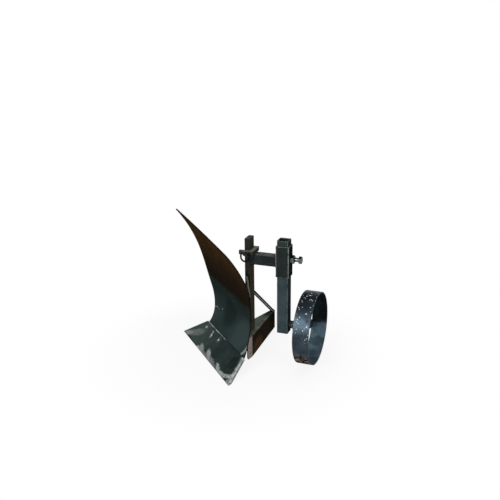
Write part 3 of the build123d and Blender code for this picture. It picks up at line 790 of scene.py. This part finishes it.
class Finishes:
    """The plough's finishes."""

    share = SharePaint("share_scoured", Slot.SHARE, "222d2c", "2c3937", worn=0.35, gloss=0.04, roughness=0.42)
    share_bolt = SharePaint(
        "share_bolt_scoured", Slot.BOLT, "222d2c", "2c3937", worn=0.3, gloss=0.04, roughness=0.42,
        spots=(Stroke(207, 62, 5.5, 4.5, 30, 0.95), Stroke(306, 62, 5.5, 4.5, 30, 0.95)))
    board = BoardPaint("board_blue_black", Slot.BOARD, "1f2927", "252f2c", bare="0d0c09", bare_metal=0.0,
                       worn=0.75, wear=6.0 * MM, roughness=0.42)
    stem = EndCutPaint(
        "stem_black", Slot.FRAME, "2a2b28", "2f2e29", soil="5c5443", soil_high="4f504c", worn=0.2,
        cut="4f4f4b", cut_alt="3f3f3b", cut_at=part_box("stem")[1], cut_depth=1.2 * MM)
    # The brace's light stripe, on the side that faces the camera, is a painted highlight along the rod.
    brace = EndCutPaint(
        "brace_black", Slot.FRAME, "161512", "1d1a15", worn=0.0, cut="f4f4f2", cut_alt="dadbd7",
        cut_metal=1.0, cut_at=Vector((0.0, 0.0, -1.0)), cut_facing=Vector((0.744, -0.453, -0.424)),
        cut_least=0.935, cut_full=0.975)
    frog = Paint("frog_grey", Slot.FRAME, "333936", "3d3e38", dust="5b605a", worn=0.4, dusty=0.7)
    # The base plate's paint is a lighter copy of the frog's, painted light where the plate lies in shade.
    base = Paint("base_grey", Slot.FRAME, "4e5852", "5a5f56", dust="858f86", worn=0.2, dusty=0.7, painted_shadow=0.7,
                 painted_shadow_at=brace_foot())
    # The landside also carries the painted shadow round the brace's foot.
    landside = LandsidePaint(
        "landside_brown", Slot.LANDSIDE, "33271e", "3f3027", bare="8a7670", soil="3d3428", dust="858f86",
        dusty=1.0, painted_shadow=0.7, painted_shadow_at=brace_foot(), worn=0.35, cut="dccac4", cut_alt="bfada6",
        cut_normal=-REAR, cut_facing=ACROSS, cut_at=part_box("landside")[0] + REAR * (22.0 * MM),
        toe=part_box("landside")[0])
    bracket = Paint("bracket_black", Slot.FRAME, "232828", "2b3130", bare="b4bab7", worn=0.68, wear=3.0 * MM,
                    dusty=0.8)
    sleeve = TubePaint("sleeve_black", Slot.BRACKET, "252a2a", "2d3332", bare="b4bab7", worn=0.68, dusty=0.8,
                       tube="sleeve_tube", rubbed=0.75)
    leg = TubePaint("leg_slate", Slot.BRACKET, "374347", "424f52", bare="b4bab7", worn=0.6, roughness=0.42,
                    tube="leg_tube", rubbed=0.25, head="2f3b38")
    wheel = WheelPaint(
        "wheel_blued", Slot.WHEEL, "42505a", "51616d", worn=0.42, metal=0.85, roughness=0.38,
        axis=middle("wheel_rim"), foot=middle("wheel_rim") + Vector((-0.012, -0.062, -0.081)))
    yoke = Paint("yoke_grey", Slot.YOKE, "323836", "404643", dust="8d8777", worn=0.6, gloss=0.04, dusty=0.8)
    bolt = Paint("bolt_black", Slot.BOLT, "121313", "1c1b19", worn=0.5, gloss=0.1, roughness=0.4)
    ring = Paint("ring_black", Slot.BOLT, "0c0c0c", "141413", worn=0.0, gloss=0.03, roughness=0.4)
    weld = Paint("weld_grey", Slot.FRAME, "6d6f65", "8f8e83", worn=0.4, gloss=0.04, roughness=0.6,
                 grain=0.3 * MM)
    # Weld for the filler between board and stem: light weld metal, made lighter still as painted light where
    # the board shades it.
    weld_pale = Paint("weld_pale", Slot.FRAME, "979c8c", "b2b6a8", worn=0.0, roughness=0.6, grain=0.3 * MM)
    weld_black = Paint("weld_black", Slot.BRACKET, "232828", "2b3130", worn=0.0, roughness=0.6, grain=0.3 * MM)
    zinc = Zinc("zinc_grey", Slot.ZINC)


class Bench:
    """Mesh work shared by the sub-assemblies."""

    @staticmethod
    def node_copy(node: str) -> BMesh:
        """Merged copy of a CAD node, with its flat faces made whole.

        Args:
            node: name of the node.

        Returns:
            The copy, as a new bmesh.
        """
        mesh = bmesh.new()
        mesh.from_mesh(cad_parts[node].data)
        bmesh.ops.remove_doubles(mesh, verts=mesh.verts, dist=MERGED)
        bmesh.ops.dissolve_limit(mesh, angle_limit=FLAT, verts=mesh.verts, edges=mesh.edges)
        return mesh

    @staticmethod
    def ease(mesh: BMesh, width: float) -> BMesh:
        """Rounds the sharp edges of a mesh.

        Args:
            mesh: what is rounded.
            width: size of the rounding, in metres.

        Returns:
            The same mesh.
        """
        sharp = [e for e in mesh.edges if e.is_manifold and e.calc_face_angle(0.0) > SHARP]
        bmesh.ops.bevel(mesh, geom=sharp, offset=width, offset_type="OFFSET", affect="EDGES", segments=2,
                        profile=0.5, material=-1, clamp_overlap=False)
        bmesh.ops.recalc_face_normals(mesh, faces=mesh.faces)
        return mesh

    @staticmethod
    def deliver(mesh: BMesh, name: str, body: Body, finish: Finish,
                replaces: tuple[str, ...] = ()) -> None:
        """Turns a bmesh into a dressed piece on its body.

        Args:
            mesh: the shape, which is freed.
            name: name of the piece.
            body: the body it rides on.
            finish: what it is dressed in.
            replaces: CAD nodes that it stands for.
        """
        data = bpy.data.meshes.new(name)
        mesh.to_mesh(data)
        mesh.free()
        data.polygons.foreach_set("use_smooth", [True] * len(data.polygons))
        data.set_sharp_from_angle(angle=CREASE)
        data.materials.append(finish.material())
        piece = bpy.data.objects.new(name, data)
        bpy.context.scene.collection.objects.link(piece)
        even = piece.modifiers.new("even_shading", "WEIGHTED_NORMAL")
        even.keep_sharp = True
        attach(piece, body.value)
        if replaces:
            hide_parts(*replaces)
        log.info("%s on %s: %d faces", name, body.value, len(data.polygons))

    @classmethod
    def dressed(cls, node: str, body: Body, finish: Finish, width: float) -> None:
        """Puts a CAD node's shape, dressed and with its edges rounded by a width, in the node's place."""
        cls.deliver(cls.ease(cls.node_copy(node), width), f"{node}_dressed", body, finish, (node,))


@dataclass
class WeldBead:
    """A rippled weld bead along a path."""

    path: list[Vector]
    radius: float
    seed: int
    ripple: float = 2.6 * MM
    closed: bool = False
    swell: float = 1.0
    depth: float = 0.16
    profile: tuple[float, ...] = (0.0, 0.45, 1.0)
    uneven: float = 0.07
    wander: float = 0.08
    end_size: float = 0.45
    end_growth: float = 0.2
    sides: int = 8

    @classmethod
    def about(cls, centre: Vector, axis: Vector, reach: float, radius: float, seed: int) -> "WeldBead":
        """A closed bead about an axis.

        Args:
            centre: middle of its path.
            axis: what the path turns about.
            reach: radius of the path.
            radius: radius of the bead.
            seed: start of its random draws.

        Returns:
            The bead.
        """
        points = 16
        side = axis.orthogonal().normalized()
        path = [centre + Matrix.Rotation(math.tau * i / points, 3, axis) @ side * reach for i in range(points)]
        return cls(path, radius, seed, closed=True)

    def stations(self) -> list[tuple[Vector, Vector]]:
        """Points along the path, a few to a ripple.

        Returns:
            Each point with its direction.
        """
        corners = self.path + [self.path[0]] if self.closed else self.path
        spots = []
        for start, end in zip(corners, corners[1:]):
            run = end - start
            steps = max(2, round(len(self.profile) * run.length / self.ripple))
            spots += [(start + run * (i / steps), run.normalized()) for i in range(steps)]
        spots.append((corners[-1], spots[-1][1]))
        return spots

    def lay(self, mesh: BMesh) -> None:
        """Adds the bead to a mesh.

        Args:
            mesh: where the bead is added.
        """
        chance = random.Random(self.seed)
        spots = self.stations()
        first: list[BMEdge] = []
        ring: list[BMEdge] = []
        last = Matrix.Identity(4)
        for index, (spot, direction) in enumerate(spots):
            to_end = min(index, len(spots) - 1 - index)
            grown = 1.0 + (self.swell - 1.0) * index / (len(spots) - 1)
            if not self.closed:
                grown *= min(1.0, self.end_size + self.end_growth * to_end)
            dip = self.depth * self.profile[index % len(self.profile)]
            size = (1.0 - dip) * grown * chance.uniform(1.0 - self.uneven, 1.0 + self.uneven)
            wander = Vector([chance.uniform(-self.wander, self.wander) * self.radius for _ in range(3)])
            turned = direction.to_track_quat("Z", "Y").to_matrix().to_4x4()
            here = Matrix.Translation(spot + wander) @ turned @ Matrix.Diagonal((size, size, size, 1.0))
            if not ring:
                made = bmesh.ops.create_circle(mesh, segments=self.sides, radius=self.radius, matrix=here)
                first = ring = list({e for v in made["verts"] for e in v.link_edges})
            else:
                made = bmesh.ops.extrude_edge_only(mesh, edges=ring)["geom"]
                fresh = {g for g in made if isinstance(g, BMVert)}
                bmesh.ops.transform(mesh, matrix=here @ last.inverted(), verts=list(fresh))
                ring = [g for g in made if isinstance(g, BMEdge) and fresh.issuperset(g.verts)]
            last = here
        for loop in (first, ring):
            bmesh.ops.edgeloop_fill(mesh, edges=loop)

    @staticmethod
    def join(beads: list["WeldBead"], name: str, body: Body, finish: Finish) -> None:
        """Makes one welded piece from several beads.

        Args:
            beads: the beads.
            name: name of the piece.
            body: the body it rides on.
            finish: what it is dressed in.
        """
        mesh = bmesh.new()
        for bead in beads:
            bead.lay(mesh)
        bmesh.ops.recalc_face_normals(mesh, faces=mesh.faces)
        Bench.deliver(mesh, name, body, finish)


Dressings = tuple[tuple[str, Body, Finish, float], ...]


@dataclass
class Assembly:
    """A sub-assembly: CAD nodes that are dressed as they are, and what it adds to them.

    Each node comes with its body, its finish and the rounding of its edges in millimetres.
    """

    nodes: Dressings = ()

    def build(self) -> None:
        """Dresses the nodes, then adds the rest."""
        for node, body, finish, width in self.nodes:
            Bench.dressed(node, body, finish, width * MM)
        self.extras()

    def extras(self) -> None:
        """Adds what isn't a dressed node."""


@dataclass
class PloughBody(Assembly):
    """Share with its bolts, and the mouldboard."""

    nodes: Dressings = (
        ("share", Body.FRAME, Finishes.share, 0.5), ("share_bolts", Body.FRAME, Finishes.share_bolt, 0.3),
        ("share_nuts", Body.FRAME, Finishes.bolt, 0.3), ("mouldboard", Body.FRAME, Finishes.board, 0.7))


@dataclass
class Frog(Assembly):
    """Welded frog: seat, base plate, ribs, landside, stem, brace and stay.

    The filler's places are distances from the stem's left edge and heights. The stay's beads are given by
    distances along its joint with the board and off its middle.
    """

    nodes: Dressings = (
        ("frog_seat", Body.FRAME, Finishes.frog, 0.8), ("frog_ribs", Body.FRAME, Finishes.frog, 0.8),
        ("frog_base", Body.FRAME, Finishes.base, 0.8), ("landside", Body.FRAME, Finishes.landside, 1.0),
        ("stem", Body.FRAME, Finishes.stem, 1.0), ("brace_rod", Body.FRAME, Finishes.brace, 0.3),
        ("mouldboard_stay", Body.FRAME, Finishes.frog, 0.3))
    stay_radius: float = 6.0 * MM
    rod_weld: float = 1.8 * MM
    rod_gap: float = 1.0 * MM
    brace_drop: float = 7.0 * MM
    foot_weld: float = 3.0 * MM
    foot_ripple: float = 3.2 * MM
    foot_gap: float = 8.0 * MM
    filler: tuple[Pair, ...] = ((13.5 * MM, 0.176), (9.5 * MM, 0.204), (5.0 * MM, 0.238))
    filler_weld: float = 3.0 * MM
    filler_ripple: float = 4.5 * MM
    stay_weld: float = 1.7 * MM
    stay_set: float = 5.7 * MM
    stay_shift: float = 2.1 * MM
    stay_above: tuple[Pair, ...] = ((0.0, 5.9 * MM), (23.5 * MM, 4.6 * MM), (44.6 * MM, 1.2 * MM))
    stay_below: tuple[Pair, ...] = ((0.0, 5.9 * MM), (24.9 * MM, 5.6 * MM), (45.4 * MM, 3.0 * MM))

    def extras(self) -> None:
        """Weld beads at the stem's foot, between stem and board, and at the brace's and the stay's ends."""
        low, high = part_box("stem")
        corners = ((high.x, low.y), (high.x, high.y), (low.x, high.y), (low.x, low.y + self.foot_gap))
        foot = [Vector((x, y, low.z)) for x, y in corners]
        head = Vector(((low.x + high.x) / 2, high.y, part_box("brace_rod")[1].z - self.brace_drop))
        stay_end = Vector((low.x, (low.y + high.y) / 2, middle("mouldboard_stay").z))
        stay_low, stay_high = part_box("mouldboard_stay")
        tail = Vector((stay_low.x, stay_high.y - self.stay_set, stay_end.z))
        above = [tail - Lines.along * run + UP * rise for run, rise in self.stay_above]
        below = [tail + Lines.across * self.stay_shift - Lines.along * run - UP * drop
                 for run, drop in self.stay_below]
        brace_reach = BRACE_RADIUS + self.rod_gap
        beads = [WeldBead(foot, self.foot_weld, 3, self.foot_ripple),
                 WeldBead.about(head, REAR, brace_reach, self.rod_weld, 7),
                 WeldBead.about(brace_foot(), UP, brace_reach, self.rod_weld, 8),
                 WeldBead.about(stay_end, ACROSS, self.stay_radius + self.rod_gap, self.rod_weld, 9),
                 WeldBead(above, self.stay_weld, 14), WeldBead(below, self.stay_weld, 15)]
        WeldBead.join(beads, "stem_welds", Body.FRAME, Finishes.weld)
        wedge = [Vector((low.x + run, low.y, height)) for run, height in self.filler]
        # The filler's light weld colour is partly painted light, for where the board shades it.
        filler = WeldBead(wedge, self.filler_weld, 5, self.filler_ripple, swell=1.35, depth=0.05)
        WeldBead.join([filler], "board_weld", Body.FRAME, Finishes.weld_pale)


@dataclass
class WheelBracket(Assembly):
    """Beam, sleeve, welded nut and set bolt."""

    nodes: Dressings = (
        ("beam_tube", Body.FRAME, Finishes.bracket, 0.5),
        ("sleeve_tube", Body.FRAME, Finishes.sleeve, 0.5), ("sleeve_nut", Body.FRAME, Finishes.zinc, 0.3))
    head_edge: float = 0.3 * MM
    head_height: float = 7.5 * MM
    head_gap: float = 0.02 * MM
    crest: float = 6.0 * MM
    root: float = 5.0 * MM
    pitch: float = 1.75 * MM
    turn_steps: int = 32
    beam_weld: float = 1.9 * MM
    nut_weld: float = 1.7 * MM
    nut_reach: float = 12.0 * MM

    def extras(self) -> None:
        """Adds the set bolt and the welds."""
        self.set_bolt()
        self.welds()

    def set_bolt(self) -> None:
        """Set bolt with a helical thread on its shank and the CAD head."""
        low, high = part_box("set_bolt")
        axis = middle("set_bolt")
        neck = high.x - self.head_height
        mesh = Bench.node_copy("set_bolt")
        everything = mesh.verts[:] + mesh.edges[:] + mesh.faces[:]
        cut = bmesh.ops.bisect_plane(mesh, geom=everything, dist=0.001 * MM, clear_inner=True,
                                     plane_co=Vector((neck + self.head_gap, 0.0, 0.0)), plane_no=ACROSS)
        bmesh.ops.edgeloop_fill(mesh, edges=[e for e in cut["geom_cut"] if isinstance(e, BMEdge)])
        Bench.ease(mesh, self.head_edge)
        self.thread(mesh, Vector((low.x, axis.y, axis.z)), neck - low.x)
        Bench.deliver(mesh, "set_bolt_threaded", Body.SET_BOLT, Finishes.zinc, ("set_bolt",))

    def thread(self, mesh: BMesh, start: Vector, length: float) -> None:
        """Adds a threaded shank to a mesh: one tooth spun through a turn, then repeated, on a plain core.

        Args:
            mesh: where it is added.
            start: middle of the shank's free end.
            length: length of the shank.
        """
        turns = int(length / self.pitch) - 1
        shank = bmesh.new()
        tooth = [shank.verts.new(start + Vector((run * self.pitch, 0.0, rise)))
                 for run, rise in ((0.0, self.root), (0.5, self.crest), (1.0, self.root))]
        edges = [shank.edges.new(pair) for pair in zip(tooth, tooth[1:])]
        bmesh.ops.spin(shank, geom=tooth + edges, cent=start, axis=ACROSS, angle=math.tau,
                       steps=self.turn_steps, dvec=ACROSS * (self.pitch / self.turn_steps), use_merge=False)
        turn = shank.verts[:] + shank.edges[:] + shank.faces[:]
        for index in range(1, turns):
            copied = bmesh.ops.duplicate(shank, geom=turn)["geom"]
            bmesh.ops.translate(shank, vec=ACROSS * (index * self.pitch),
                                verts=[v for v in copied if isinstance(v, BMVert)])
        bmesh.ops.remove_doubles(shank, verts=shank.verts, dist=0.01 * MM)
        core = Matrix.Translation(start + ACROSS * (length / 2)) @ Matrix.Rotation(math.pi / 2, 4, "Y")
        bmesh.ops.create_cone(shank, cap_ends=True, segments=self.turn_steps, radius1=self.root,
                              radius2=self.root, depth=length, matrix=core)
        bmesh.ops.recalc_face_normals(shank, faces=shank.faces)
        made = bpy.data.meshes.new("shank")
        shank.to_mesh(made)
        shank.free()
        mesh.from_mesh(made)
        bpy.data.meshes.remove(made)

    def welds(self) -> None:
        """Weld beads round the beam's two ends and the nut."""
        low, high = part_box("beam_tube")
        beads = []
        for x, seed in ((low.x, 11), (high.x, 12)):
            corners = ((low.y, low.z), (low.y, high.z), (high.y, high.z), (high.y, low.z))
            ends = [Vector((x, y, z)) for y, z in corners]
            beads.append(WeldBead(ends, self.beam_weld, seed, closed=True))
        centre = middle("sleeve_nut")
        centre.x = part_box("sleeve_nut")[0].x
        beads.append(WeldBead.about(centre, ACROSS, self.nut_reach, self.nut_weld, 13))
        WeldBead.join(beads, "bracket_welds", Body.FRAME, Finishes.weld_black)


@dataclass
class WheelLeg(Assembly):
    """Leg, axle stud and what holds the wheel on it."""

    nodes: Dressings = (
        ("leg_tube", Body.LEG, Finishes.leg, 0.5), ("axle_stud", Body.LEG, Finishes.bolt, 0.3),
        ("axle_nut", Body.LEG, Finishes.bolt, 0.3), ("thrust_washers", Body.LEG, Finishes.bolt, 0.3),
        ("split_pin", Body.LEG, Finishes.zinc, 0.1))
    axle_radius: float = 6.0 * MM
    axle_weld: float = 1.6 * MM

    def extras(self) -> None:
        """Adds the axle's weld."""
        end = middle("axle_stud")
        end.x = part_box("leg_tube")[0].x
        bead = WeldBead.about(end, ACROSS, self.axle_radius, self.axle_weld, 21)
        WeldBead.join([bead], "axle_weld", Body.LEG, Finishes.leg)


@dataclass
class GaugeWheel(Assembly):
    """Hub, spokes and rim."""

    nodes: Dressings = (
        ("wheel_hub", Body.WHEEL, Finishes.wheel, 0.8), ("wheel_spokes", Body.WHEEL, Finishes.wheel, 0.8))
    rim_thickness: float = 4.0 * MM
    rim_corner: float = 1.0 * MM
    rim_steps: int = 144
    hub_radius: float = 13.0 * MM
    hub_weld: float = 1.8 * MM
    spokes: int = 4
    spoke_turn: float = math.radians(-18.0)
    spoke_width: float = 24.0 * MM
    spoke_weld: float = 1.6 * MM
    weld_share: float = 0.46
    weld_sink: float = 0.4 * MM

    def extras(self) -> None:
        """Adds the rim and the welds."""
        self.rim()
        self.welds()

    def rim(self) -> None:
        """Plain band, turned from a section with rounded corners."""
        low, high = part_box("wheel_rim")
        axis = middle("wheel_rim")
        half_width = (high.x - low.x) / 2
        half_wall = self.rim_thickness / 2
        outer = (high.z - low.z) / 2
        place = Matrix.Translation(axis + UP * (outer - half_wall)) @ Matrix.Rotation(math.pi / 2, 4, "X")
        mesh = bmesh.new()
        made = bmesh.ops.create_grid(mesh, x_segments=1, y_segments=1, size=1.0,
                                     matrix=place @ Matrix.Diagonal((half_width, half_wall, 1.0, 1.0)))
        bmesh.ops.bevel(mesh, geom=made["verts"], offset=self.rim_corner, offset_type="OFFSET",
                        affect="VERTICES", segments=3, profile=0.5, material=-1)
        bmesh.ops.delete(mesh, geom=mesh.faces[:], context="FACES_ONLY")
        bmesh.ops.spin(mesh, geom=mesh.verts[:] + mesh.edges[:], cent=axis, axis=ACROSS, angle=math.tau,
                       dvec=Vector(), steps=self.rim_steps, use_merge=True)
        bmesh.ops.remove_doubles(mesh, verts=mesh.verts, dist=MERGED)
        bmesh.ops.recalc_face_normals(mesh, faces=mesh.faces)
        Bench.deliver(mesh, "wheel_rim_turned", Body.WHEEL, Finishes.wheel, ("wheel_rim",))

    def welds(self) -> None:
        """Weld beads round the hub and at the spokes' ends."""
        low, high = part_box("wheel_spokes")
        axis = middle("wheel_rim")
        inner = (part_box("wheel_rim")[1].z - axis.z) - self.rim_thickness
        spread = math.asin(self.weld_share * self.spoke_width / inner)
        beads = []
        for x, seed in ((low.x, 31), (high.x, 41)):
            centre = Vector((x, axis.y, axis.z))
            beads.append(WeldBead.about(centre, ACROSS, self.hub_radius, self.hub_weld, seed))
            for index in range(self.spokes):
                angle = self.spoke_turn + index * math.tau / self.spokes
                ends = [centre + Matrix.Rotation(angle + lean, 3, "X") @ (REAR * (inner - self.weld_sink))
                        for lean in (-spread, 0.0, spread)]
                beads.append(WeldBead(ends, self.spoke_weld, seed + 1 + index))
        WeldBead.join(beads, "wheel_welds", Body.WHEEL, Finishes.wheel)


@dataclass
class HitchYoke(Assembly):
    """Yoke strap, its pin and the pull ring."""

    nodes: Dressings = (
        ("yoke_strap", Body.FRAME, Finishes.yoke, 0.8), ("yoke_pin", Body.YOKE_PIN, Finishes.bolt, 0.4),
        ("pull_ring", Body.RING, Finishes.ring, 0.1))


@dataclass(frozen=True)
class Lamp:
    """A soft square lamp that faces the plough, with its side in metres and its power in watts."""

    name: str
    spot: Vector
    size: float
    power: float
    on_matt: bool = True
    in_gloss: bool = True
    aim: Vector = Vector((0.0, 0.0, 0.15))

    def build(self) -> None:
        """Adds the lamp, which may light only matt surfaces or show only in reflections."""
        data = bpy.data.lights.new(self.name, "AREA")
        data.size = self.size
        data.energy = self.power
        lamp = bpy.data.objects.new(self.name, data)
        bpy.context.scene.collection.objects.link(lamp)
        lamp.location = self.spot
        lamp.rotation_euler = (self.aim - self.spot).to_track_quat("-Z", "Y").to_euler()
        lamp.visible_diffuse = self.on_matt
        lamp.visible_glossy = self.in_gloss


@dataclass
class Studio:
    """Floor, lights and the camera at the photograph's angle."""

    camera_x: float = 0.59229
    camera_y: float = -1.73559
    camera_z: float = 0.86831
    turn: float = math.radians(21.19)
    down: float = math.radians(18.32)
    roll: float = math.radians(-0.77)
    focal: float = 46.08
    sensor: float = 36.0
    lamps: tuple[Lamp, ...] = (
        Lamp("key", Vector((-0.7, -2.3, 0.8)), 1.0, 42.0, in_gloss=False),
        Lamp("top", Vector((0.1, 0.1, 2.2)), 1.6, 14.0, in_gloss=False),
        Lamp("fill", Vector((2.2, -1.2, 1.0)), 1.6, 3.0),
        Lamp("sheen", Vector((-0.7, -2.3, 1.5)), 1.3, 30.0, on_matt=False),
        Lamp("rear", Vector((-0.5, 2.6, 0.9)), 1.6, 16.0, in_gloss=False))
    ambient: float = 0.25
    zenith: Zone = (0.05, 0.4)
    zenith_turn: Zone = (-0.45, 0.1)
    zenith_front: float = 0.4
    zenith_rear: float = 0.03
    floor_size: float = 12.0
    floor_mirrored: float = 0.4
    floor_lit: Colour = (0.55, 0.55, 0.55)
    floor_seen: Colour = (0.96, 0.96, 0.96)
    shadow_zone: Zone = (0.22, 0.5)
    shadow_glow: float = 0.87

    def build(self) -> None:
        """Builds the stage."""
        self.floor()
        self.world()
        for lamp in self.lamps:
            lamp.build()
        self.camera()
        bpy.context.scene.view_settings.view_transform = "Standard"

    def world(self) -> None:
        """White to the camera, a dim grey as light; reflections are white at the horizon, dark overhead."""
        world = bpy.data.worlds.new("studio")
        bpy.context.scene.world = world
        world.use_nodes = True
        n = Nodes(world.node_tree)
        camera, gloss = n.rays()
        way = n.add("ShaderNodeTexCoord").outputs["Generated"]
        overhead = n.span(n.dot(way, REAR), *self.zenith_turn, 1.0 - self.zenith_front, 1.0 - self.zenith_rear)
        dimmed = n.times(n.span(n.dot(way, UP), *self.zenith), overhead)
        mirrored = n.times(gloss, n.math("SUBTRACT", 1.0 - self.ambient, dimmed))
        strength = n.math("MAXIMUM", n.plus(mirrored, self.ambient), camera)
        back = n.add("ShaderNodeBackground", {"Color": (1.0, 1.0, 1.0), "Strength": strength})
        n.add("ShaderNodeOutputWorld", {"Surface": back.outputs["Background"]})

    def floor(self) -> None:
        """White floor that keeps the plough's shadow near it."""
        mesh = bmesh.new()
        bmesh.ops.create_grid(mesh, x_segments=2, y_segments=2, size=self.floor_size)
        data = bpy.data.meshes.new("floor")
        mesh.to_mesh(data)
        mesh.free()
        g = Graph("floor_white")
        camera, gloss = g.rays()
        tint = g.mix(camera, self.floor_lit, self.floor_seen)
        diffuse = g.add("ShaderNodeBsdfDiffuse", {"Color": tint})
        glow = g.add("ShaderNodeEmission", {"Strength": g.math("MAXIMUM", camera, self.floor_mirrored)})
        away = g.span(g.distance(Vector()), *self.shadow_zone, self.shadow_glow, 1.0)
        share = g.math("MAXIMUM", g.times(away, camera), gloss)
        both = g.add("ShaderNodeMixShader", {0: share, 1: diffuse.outputs[0], 2: glow.outputs[0]})
        g.feed(g.output.inputs["Surface"], both.outputs[0])
        g.tree.nodes.remove(g.shader)
        data.materials.append(g.material)
        floor = bpy.data.objects.new("floor", data)
        bpy.context.scene.collection.objects.link(floor)

    def camera(self) -> None:
        """Camera where the photograph was taken from, placed from the landside's outer rear corner."""
        data = bpy.data.cameras.new("camera")
        data.sensor_width = self.sensor
        data.lens = self.focal
        camera = bpy.data.objects.new("camera", data)
        bpy.context.scene.collection.objects.link(camera)
        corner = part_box("landside")[1]
        place = Vector((corner.x + self.camera_x, corner.y + self.camera_y, self.camera_z))
        turned = Matrix.Rotation(self.turn, 4, "Z") @ Matrix.Rotation(math.pi / 2 - self.down, 4, "X")
        camera.matrix_world = Matrix.Translation(place) @ turned @ Matrix.Rotation(self.roll, 4, "Z")
        bpy.context.scene.camera = camera


def main() -> None:
    """Builds the plough's pieces and its stage."""
    logging.basicConfig(level=logging.INFO, format="%(name)s: %(message)s")
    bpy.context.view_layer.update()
    for assembly in (PloughBody(), Frog(), WheelBracket(), WheelLeg(), GaugeWheel(), HitchYoke()):
        assembly.build()
    Studio().build()


if __name__ == "__main__":
    main()
